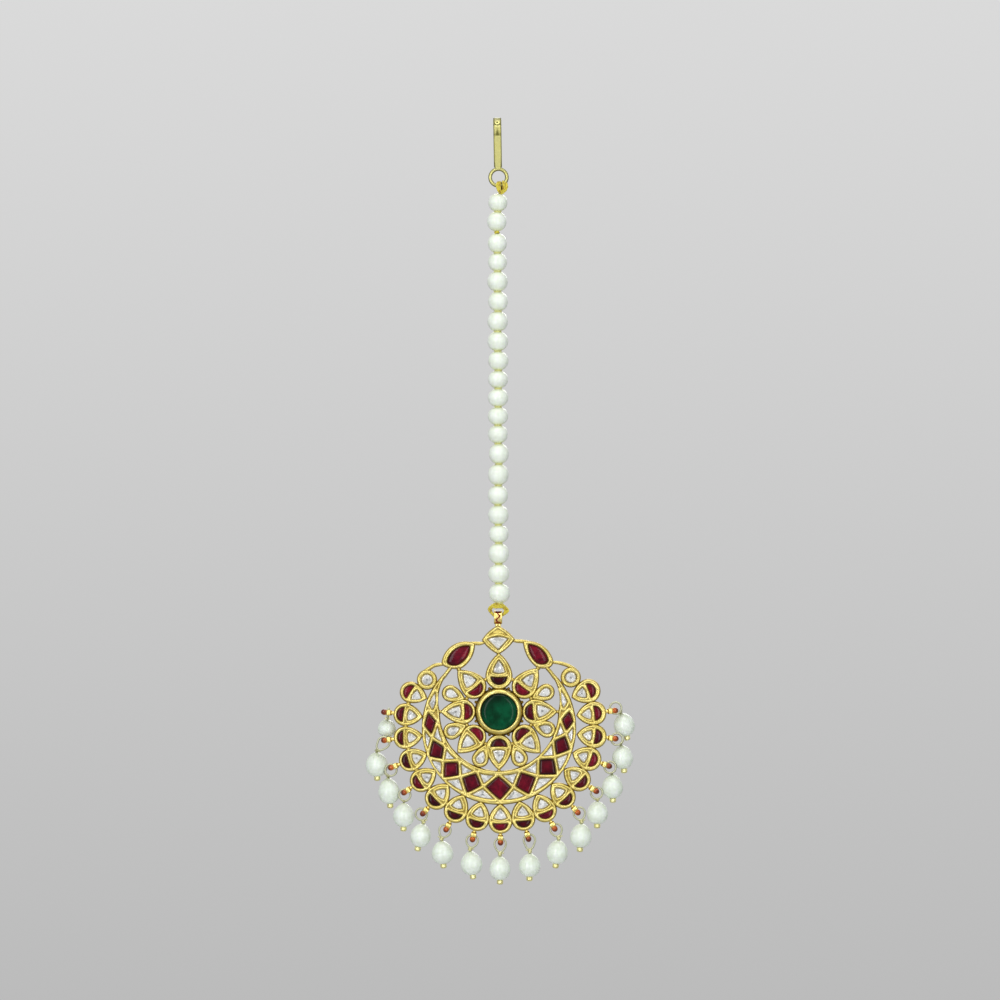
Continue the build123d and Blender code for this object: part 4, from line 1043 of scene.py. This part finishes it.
border_polki = three_corners(1.16, 0.82, 2.58, 0.3, 0.18)
borders, border_rubies, border_polkis = [], [], []
for number, (turn, round_end, inwards, depth, deep, size) in enumerate(BORDER_PETALS):
    direction = BORDER_START + BORDER_PITCH * (number - 8)
    place = direction + 90, BORDER_MIDDLE + BORDER_RING * heading(direction)
    leaf = leaf_outline(round_end, BORDER_REACH, BORDER_LEAN, 22)
    ruby = turn_flat(half_moon(1.57, depth, 0.1, -0.32) + [0, inwards], turn)
    polki = turn_flat((border_polki - [0, 1.4]) * size + [0, 1.4 + max(inwards - 0.25, 0)], turn)
    borders.append(cell_form(leaf, [0, 0.3], [ruby, polki], *place, 140 + number, 30))
    border_rubies.append(set_ruby(ruby, MOON_CUT, deep, *place))
    border_polkis.append(set_polki(polki, 170 + number, *place))
    if number < len(BORDER_PETALS) - 1:
        joint = BORDER_MIDDLE + JOINT_RING * heading(direction + BORDER_PITCH / 2)
        borders.append(solder_ball(*joint, *JOINT_BALL))
make_piece("border_petals", "pendant", gold, "frame", borders)
make_piece("border_rubies_cut", "pendant", ruby_red, "border_rubies", border_rubies)
make_piece("border_polkis_cut", "pendant", polki_foil, "border_polkis", border_polkis, smooth=False)


# ---------------------------------------------------------------- shoulders and crown
# Above the horns two round diamond cells, two almond cells with a long ruby each, and the
# crown cell in the middle with its hood of gold. Thin wires tie them together.

ROUND_CELLS = [(-15.0, 6.65), (14.95, 7.15)]
ROUND_CELL_RADIUS = 2.03
ROUND_STONE_RADIUS = 1.22
RIGHT_ALMOND = [(5.05, 14.6, 0.6), (7.6, 9.5, 0.3), (10.4, 9.2, 0.2), (11.3, 10.4, 1.5)]
RIGHT_ALMOND_RUBY = [(6.05, 14.1, 0.5), (7.9, 10.15, 0.2), (9.7, 9.95, 0.1), (10.3, 10.7, 0.95)]
LEFT_ALMOND = [(-5.05, 14.2, 1.9), (-11.9, 10.3, 0.2), (-10.9, 9.3, 0.3), (-7.7, 9.2, 0.75)]
LEFT_ALMOND_RUBY = [(-6.0, 13.75, 1.15), (-10.85, 10.5, 0.15), (-10.1, 9.7, 0.25), (-8.0, 10.05, 0.55)]
ALMONDS = [(LEFT_ALMOND, LEFT_ALMOND_RUBY), (RIGHT_ALMOND, RIGHT_ALMOND_RUBY)]
ALMOND_CUT = (0.66, 0.24, 0.2, 0.18)
CROWN = [(-0.25, 17.9, 0.3), (-3.5, 14.95, 0.34), (-0.1, 12.0, 0.28), (3.25, 15.1, 0.28)]
CROWN_STONE = [(-2.4, 15.1, 0.05), (-0.15, 12.85, 0.05), (1.95, 15.2, 0.55)]
CROWN_MIDDLE = [-0.15, 14.7]
CROWN_ROWS = 40
# middle of the crown's hood (x, z), half its width and height, and how far it swells
HOOD_SPOT = (-0.2, 16.45)
HOOD_SIZE = (1.1, 0.55)
HOOD_SWELL = 0.3
# path of each wire from cell to cell (x, z), and of the ties from horn to almond cell
SHOULDER_WIRES = [
    [(-2.9, 14.5), (-3.8, 14.22), (-4.8, 14.22), (-5.8, 14.2), (-6.8, 14.1)],
    [(2.6, 14.95), (3.6, 14.72), (4.6, 14.66), (5.6, 14.52), (6.8, 14.2)],
    [(-10.9, 9.95), (-12.2, 9.85), (-13.5, 9.6), (-14.6, 8.95), (-15.8, 8.35)],
    [(10.6, 10.3), (11.9, 10.25), (13.4, 9.95), (14.9, 9.35), (16.0, 8.55), (16.6, 7.5)],
]
HORN_TIES = [
    [(-12.35, 5.9), (-11.6, 7.05), (-10.95, 8.0), (-10.35, 8.8), (-9.9, 9.35)],
    [(12.25, 5.9), (11.6, 7.0), (10.95, 8.0), (10.3, 8.8), (9.4, 9.8)],
]
# solder (x, z, radius) where petal tips meet the almond cells and the crescent; each ball gets 0.4 of the
# painted shade
SOLDER = [
    (-8.35, 8.85, 0.5), (8.15, 9.1, 0.5), (-12.2, 0.0, 0.4), (12.25, 0.0, 0.4), (0.0, -12.3, 0.4),
    (-0.1, 12.05, 0.42), (-13.3, 6.1, 0.4), (13.3, 6.2, 0.4),
]

shoulders, shoulder_polkis, almond_rubies = [], [], []
for number, spot in enumerate(ROUND_CELLS):
    outline, stone = round_outline(ROUND_CELL_RADIUS, 88), round_outline(ROUND_STONE_RADIUS, 48)
    shoulders.append(cell_form(outline, (0, 0), [stone], 0, spot, 200 + number, 26))
    shoulder_polkis.append(set_polki(stone, 205 + number, 0, spot, (0, 0)))
for number, (cell, ruby) in enumerate(ALMONDS):
    outline, stone = bowed_outline(cell, 32), bowed_outline(ruby, 20)
    shoulders.append(cell_form(outline, stone.mean(0), [stone], 0, (0, 0), 210 + number, 36))
    almond_rubies.append(set_ruby(stone, ALMOND_CUT, 0))
outline, stone = bowed_outline(CROWN, 32), bowed_outline(CROWN_STONE, 20)
form, hollow = cell_form(outline, CROWN_MIDDLE, [stone], 0, (0, 0), 220, CROWN_ROWS)
# the hood swells between the stone and the top of the crown, and its painted shade fades there
hood_x, hood_z = form[..., 0] - HOOD_SPOT[0], form[..., 2] - PENDANT_Z - HOOD_SPOT[1]
swell = np.exp(-((hood_x / HOOD_SIZE[0]) ** 2) - (hood_z / HOOD_SIZE[1]) ** 2)
form[:CROWN_ROWS, :, 1] -= HOOD_SWELL * swell[:CROWN_ROWS]
hollow[:CROWN_ROWS] *= 1 - swell[:CROWN_ROWS]
shoulders.append((form, hollow))
shoulder_polkis.append(set_polki(stone, 221))
# wires and ties: width and depth, height, and thickness along the way; each gets 0.2 of the painted shade all
# over
for paths, wire, height, thick in (
    (SHOULDER_WIRES, (0.86, 0.8), 0.25, [0.7, 1, 1, 0.6]),
    (HORN_TIES, (1.3, 0.84), 0.42, [0.3, 1, 1, 0.8]),
):
    for path in paths:
        across, up = soft_path(path, 40).T
        thickness = np.interp(np.linspace(0, 1, 40), [0, 0.35, 0.8, 1], thick)
        form = carry(closed_profile(*wire, 2, 16), in_face(across, up, height), (0, -1, 0), thickness)
        shoulders.append((form, 0.2))
shoulders += [solder_ball(across, up, 0.4, radius, 0.4) for across, up, radius in SOLDER]
make_piece("shoulder_cells", "pendant", gold, "frame", shoulders)
make_piece("almond_rubies", "pendant", ruby_red, "border_rubies", almond_rubies)
make_piece("shoulder_polkis", "pendant", polki_foil, "border_polkis", shoulder_polkis, smooth=False)


# ---------------------------------------------------------------- bail
# A short gold barrel across the top of the crown, with red enamel on its face and a post
# soldered behind the crown. The silk bow passes through its eye.

BAIL_X = -0.2
BAIL_Z = 19.65


def enamelled_gold():
    """Gold under clear red enamel where the note 'enamel' nears 1: bare gold below 0.5, then
    amber where the enamel is thin, and dark red where it is thick."""
    finish = Finish("red_enamel_on_gold", IOR=1.35, Coat_Roughness=0.06, Coat_IOR=1.4)
    pools = finish.cloud(2200.0, 2.0)
    enamel = finish.note("enamel") + 0.3 * (pools - 0.5)
    share = finish.sharpen(enamel, 0.42, 0.58)
    thick = finish.sharpen(enamel, 0.62, 0.95)
    red = finish.blend(thick, (0.56, 0.12, 0.008), (0.11, 0.006, 0.002))
    worn = finish.blend(finish.cloud(1300.0, 2.0), (0.95, 0.82, 0.32), (0.78, 0.58, 0.14))
    return finish.set(
        Base_Color=finish.blend(share, worn, red),
        Metallic=1 - share * 0.85,
        Roughness=0.32 - 0.14 * share,
        Coat_Weight=share * 0.5,
        Normal=finish.relief(pools, 0.00005, 0.4),
    )


red_enamel = enamelled_gold()
# turned outline (radius, u) of the barrel: its left rim, its face, its right rim and its eye;
# the face is the rows of BAIL_FACE
BAIL_FACE = slice(5, 26)
bail_across = np.linspace(-0.62, 0.62, 21)
bail_profile = [(0.85, -0.6), (0.95, -0.8), (1.2, -0.86), (1.38, -0.8), (1.44, -0.68)]
bail_profile += [(1.37 + 0.05 * np.abs(u) ** 3, u) for u in bail_across]
bail_profile += [(radius, -u) for radius, u in bail_profile[4::-1]] + [(0.83, 0), (0.85, -0.6)]
barrel = turned_form(bail_profile, in_face(BAIL_X, BAIL_Z, 0), (1, 0, 0), (0, 0, 1), 96)
# an S of dark enamel down the face, dark at the top, red at the bottom
is_face = np.zeros((len(bail_profile), 1))
is_face[BAIL_FACE] = 1
u = is_face.copy()
u[BAIL_FACE, 0] = bail_across
z = np.cos(even_turn(96))
scroll = np.exp(-(((u - 0.36 * np.sin(5.2 * z + 0.4)) / 0.27) ** 2)) * (np.abs(z) < 0.75)
caps = np.clip((np.abs(z) - 0.6) / 0.06, 0, 1) * np.clip((0.6 - np.abs(u)) / 0.06, 0, 1)
barrel_enamel = is_face * np.maximum(scroll, caps * np.where(z < 0, 0.8, 1.0))
post_line = in_face(BAIL_X, np.linspace(16.8, 18.7, 8), -0.4)
post = carry(closed_profile(1.2, 0.9, 4, 20), post_line, (1, 0, 0))
bail_forms = [(barrel, barrel_enamel), (post, 0)]
make_piece("bail_barrel", "pendant", red_enamel, "frame", bail_forms, note_name="enamel")


# ---------------------------------------------------------------- lugs
# Fifteen short tubes soldered under the border petals to carry the drops, their outer half
# dipped in red enamel.

LUG_RING = 23.45
TUBE_INWARDS = 0.15
TIP_OUTWARDS = 0.78
TIP_RADIUS = 0.63
# turned outline (radius, height) of the tube's wall
TUBE_PROFILE = [
    (0.6, -0.52), (0.64, -0.55), (0.68, -0.44), (0.68, 0.44),
    (0.64, 0.55), (0.6, 0.52), (0.46, 0), (0.6, -0.52),
]
# how much enamel is left on the tips, in turn
TIP_ENAMEL = (0.8, 0.66, 0.62, 0.72)
lug_forms, lug_places = [], []
for number in range(15):
    direction = heading(BORDER_START + BORDER_PITCH * (number - 7))
    c, s = direction
    outward, along = np.array([c, 0, s]), np.array([-s, 0, c])
    middle = in_face(*(BORDER_MIDDLE + LUG_RING * direction), 0)
    lug_places.append((middle, along))
    tube = turned_form(TUBE_PROFILE, middle - outward * TUBE_INWARDS, along, outward, 24)
    tip = arc((0, 0), TIP_RADIUS, -0.6, 1.45, 13) * [1, 1.12]
    tip = turned_form(tip, middle + outward * TIP_OUTWARDS, outward, along, 24)
    stem_line = middle - outward * np.linspace(1.9, 0.7, 8)[:, None]
    stem_size = np.interp(np.linspace(0, 1, 8), [0, 0.75, 1], [1.25, 0.9, 0.93])
    stem = carry(closed_profile(0.8, 0.8, 2, 16), stem_line, along, stem_size)
    tip_enamel = np.linspace(TIP_ENAMEL[number % 4], 1, 13)[:, None]
    lug_forms += [(tube, 0), (tip, tip_enamel), (stem, 0)]
make_piece("drop_lugs", "pendant", red_enamel, "frame", lug_forms, note_name="enamel")


# ---------------------------------------------------------------- drops
# Fifteen egg-shaped pearls. Each hangs on a loop of dull gilt wire through its lug. The wire
# is wrapped at the neck, runs through the pearl and ends in a small ribbed bead.

# way the loop hangs from its lug and its lean to the back (degrees), pearl centre (x, z),
# width, height, tilt (degrees), shift to the back, and how pointed its top is
DROPS = [
    (270, 70, -23.4, -3.55, 3.80, 3.70, 0, 2.0, 0.0),
    (213, 0, -25.5, -11.1, 4.70, 5.10, 2, 1.9, 0.05),
    (226, 0, -22.95, -16.6, 4.50, 5.50, 5, 1.5, 0.3),
    (241, 0, -19.85, -21.5, 4.50, 5.15, -1, 0.0, 0.5),
    (220, 0, -16.3, -25.8, 4.35, 5.00, -13, 0.0, 0.12),
    (236, 0, -11.8, -29.35, 4.55, 4.90, 5, 0.0, 0.15),
    (256, 0, -5.75, -31.55, 4.60, 5.05, 7, 0.0, 0.35),
    (267, 0, 0.2, -32.6, 4.40, 5.10, 0, 0.0, 0.28),
    (291, 0, 6.4, -31.95, 4.50, 5.00, -1, 0.0, 0.38),
    (307, 0, 12.15, -29.25, 4.50, 5.10, -7, 0.0, 0.2),
    (321, 0, 17.05, -25.85, 4.50, 5.05, -4, 0.0, 0.12),
    (313, 0, 20.5, -21.05, 4.50, 4.80, -1, 0.0, 0.15),
    (332, 0, 23.65, -15.6, 4.45, 5.15, 2, 0.9, 0.28),
    (350, 0, 25.8, -9.55, 4.40, 5.00, 6, 1.6, 0.12),
    (34, 0, 26.1, -2.8, 4.45, 4.95, 13, 1.8, 0.12),
]
LOOP_RADIUS = 1.2
LOOP_SEAT = 0.1
COIL_LENGTH = 0.62
LOWER_SHARE = 0.44
DROP_DRILL = 0.24
DROP_WIRE = 0.42
PIN_WIRE = 0.3
TAIL_WIRE = 0.26

wire_colours = (0.88, 0.84, 0.42), (0.78, 0.72, 0.32), (0.52, 0.53, 0.38)
wire_gold = metal_finish("dull_wire_gold", *wire_colours, 0.3, 0.48)
# the third colour is the tint where drilled, partly painted shade
drop_nacre = pearl_finish("drop_nacre", (0.8, 0.88, 0.8), (0.7, 0.78, 0.66), (0.46, 0.48, 0.24))
# turned outline (radius, height) of the bead, from its top to its foot
BEAD_PROFILE = [
    (0.2, 0.04), (0.5, 0), (0.64, -0.1), (0.68, -0.26), (0.64, -0.38), (0.66, -0.5),
    (0.66, -0.66), (0.6, -0.78), (0.46, -0.9), (0.26, -0.96), (0.08, -0.97),
]
for number, (row, (lug_middle, lug_axis)) in enumerate(zip(DROPS, lug_places), start=1):
    hang, lean, pearl_x, pearl_z, width, height, tilt, back, pointed = row
    c, s = heading(tilt)
    upward, across = np.array([-s, 0, c]), np.array([c, 0, s])
    girth = in_face(pearl_x, pearl_z, -back) - upward * height * (0.5 - LOWER_SHARE)
    form, tint = pearl_form(width, height, LOWER_SHARE, DROP_DRILL, 300 + number, 1.0, 0.9, 48, pointed)
    form = girth + form @ [across, (0, 1, 0), upward]
    name, node = f"pearl_drop_{number:02d}", f"drop_pearl_{number:02d}"
    make_piece(name, "pendant", drop_nacre, node, [(form, tint)])

    (c, s), (near, behind) = heading(hang), heading(lean)
    away = np.array([near * c, behind, near * s])
    loop_middle = lug_middle + away * (LOOP_RADIUS - LOOP_SEAT)
    loop_normal = unit(np.cross(away, lug_axis))
    neck_foot = girth + upward * (height * (1 - LOWER_SHARE) + 0.2)
    to_neck = neck_foot - loop_middle
    to_neck = to_neck - loop_normal * to_neck.dot(loop_normal)
    reach = np.linalg.norm(to_neck)
    to_neck /= reach
    beside = np.cross(loop_normal, to_neck)
    # the loop is drawn out towards the coil that closes it
    foot_reach = max(reach - COIL_LENGTH, LOOP_RADIUS)
    turn = np.linspace(0.02, 2 * np.pi - 0.02, 72)[:, None]
    drawn = LOOP_RADIUS + (foot_reach - LOOP_RADIUS) * np.clip(np.cos(turn), 0, 1) ** 5
    loop = loop_middle + drawn * (to_neck * np.cos(turn) + beside * np.sin(turn))
    wire = carry(closed_profile(DROP_WIRE, DROP_WIRE, 2, 12), loop, loop_normal)
    loop_foot = loop_middle + foot_reach * to_neck
    neck_line = neck_foot + (loop_foot - neck_foot) * np.linspace(-0.25, 1.1, 40)[:, None]
    ribs = 0.34 + 0.13 * np.abs(np.sin(np.linspace(0, 3 * np.pi, 40))) ** 0.6
    neck = carry(closed_profile(2, 2, 2, 16), neck_line, loop_normal, ribs)
    # the cut end of the coil
    aside = beside * (1 if number % 3 else -1)
    tail_line = soft_path([(0, 0, 0), aside * 0.45 + upward * 0.05, aside * 0.85 + upward * 0.2], 10)
    tail_line = (neck_foot + loop_foot) / 2 + tail_line
    tail = carry(closed_profile(TAIL_WIRE, TAIL_WIRE, 2, 8), tail_line, (0, 1, 0))
    pin_line = np.array([neck_foot, girth, girth - upward * (height * LOWER_SHARE + 0.5)])
    pin = carry(closed_profile(PIN_WIRE, PIN_WIRE, 2, 8), pin_line, (0, 1, 0))
    bead = turned_form(BEAD_PROFILE, girth - upward * (height * LOWER_SHARE - 0.1), upward, across, 20)
    # each form with how dull it is
    drop_forms = [(wire, 1), (neck, 0.55), (tail, 0.7), (pin, 1), (bead, 0)]
    name, node = f"wire_drop_{number:02d}", f"drop_wire_{number:02d}"
    make_piece(name, "pendant", wire_gold, node, drop_forms)


# ---------------------------------------------------------------- stage, light and camera
# A pale floor well under the hanging piece, a pale even surround, tall soft lamps to the left
# and right in front, weaker ones above and behind, and a long lens straight in front.

LENS = 200.0
SENSOR = 36.0
VIEW_WIDTH = 1000 / 4.8
VIEW_CENTRE = (0.21, -79.1)
NEAREST = 0.05
FURTHEST = 20
distance = VIEW_WIDTH * LENS / SENSOR
camera_data = bpy.data.cameras.new("camera")
camera_data.lens = LENS
camera_data.sensor_width = SENSOR
camera = put_in_scene("camera", camera_data)
camera.location = (VIEW_CENTRE[0] * MM, (HANG_Y - distance) * MM, VIEW_CENTRE[1] * MM)
camera.rotation_euler = (np.pi / 2, 0, 0)
camera_data.clip_start = NEAREST
camera_data.clip_end = FURTHEST
bpy.context.scene.camera = camera
bpy.context.scene.view_settings.view_transform = "Standard"

FLOOR_RADIUS = 1.3
FLOOR_Z = -0.45
floor_mesh = bpy.data.meshes.new("floor")
floor_points = np.column_stack([round_outline(FLOOR_RADIUS, 64), np.full(64, FLOOR_Z)])
floor_mesh.from_pydata(floor_points.tolist(), [], [list(range(64))])
floor = put_in_scene("floor", floor_mesh)
floor_paint = Finish("floor_paint", Roughness=0.7)
floor_colour = floor_paint.blend(floor_paint.cloud(3.0), (0.62, 0.62, 0.61), (0.66, 0.66, 0.65))
floor_mesh.materials.append(floor_paint.set(Base_Color=floor_colour))

# place in metres, width and height of the lamp, watts
LAMPS = [
    ((-0.42, -0.85, 0.12), 0.26, 1.0, 3.9),
    ((0.36, -0.9, 0.0), 0.22, 0.9, 2.5),
    ((0.0, -0.35, 0.75), 0.7, 0.4, 2.8),
    ((0.15, 0.8, 0.4), 0.6, 0.6, 3.0),
]
LAMP_AIM = Vector((0, 0, -0.11))
for number, (spot, width, height, watts) in enumerate(LAMPS):
    lamp_data = bpy.data.lights.new(f"lamp_{number}", "AREA")
    lamp_data.shape = "RECTANGLE"
    lamp_data.size = width
    lamp_data.size_y = height
    lamp_data.energy = watts
    lamp = put_in_scene(f"lamp_{number}", lamp_data)
    lamp.location = spot
    lamp.rotation_euler = (LAMP_AIM - Vector(spot)).to_track_quat("-Z", "Y").to_euler()

# seen directly, in gloss or through glass the surround is pale; its light is a little weaker
world = bpy.data.worlds.new("surround")
world.use_nodes = True
sky = Nodes(world.node_tree)
direct, gloss, through = (
    sky.node("ShaderNodeLightPath", output=f"Is {ray} Ray") for ray in ("Camera", "Glossy", "Transmission")
)
seen = sky.node("ShaderNodeMath", {"operation": "ADD", "use_clamp": True}, {0: direct + gloss, 1: through})
upright = sky.node("ShaderNodeTexCoord", output="Generated")
upright = sky.node("ShaderNodeSeparateXYZ", {}, {0: upright}, "Z")
backdrop = sky.blend(sky.sharpen(upright, -0.2, 0.2), (0.44, 0.44, 0.44), (0.76, 0.76, 0.76))
surround = sky.blend(seen, (0.34, 0.34, 0.34), backdrop)
sky.feed(sky.tree.nodes["Background"].inputs["Color"], surround)
bpy.context.scene.world = world
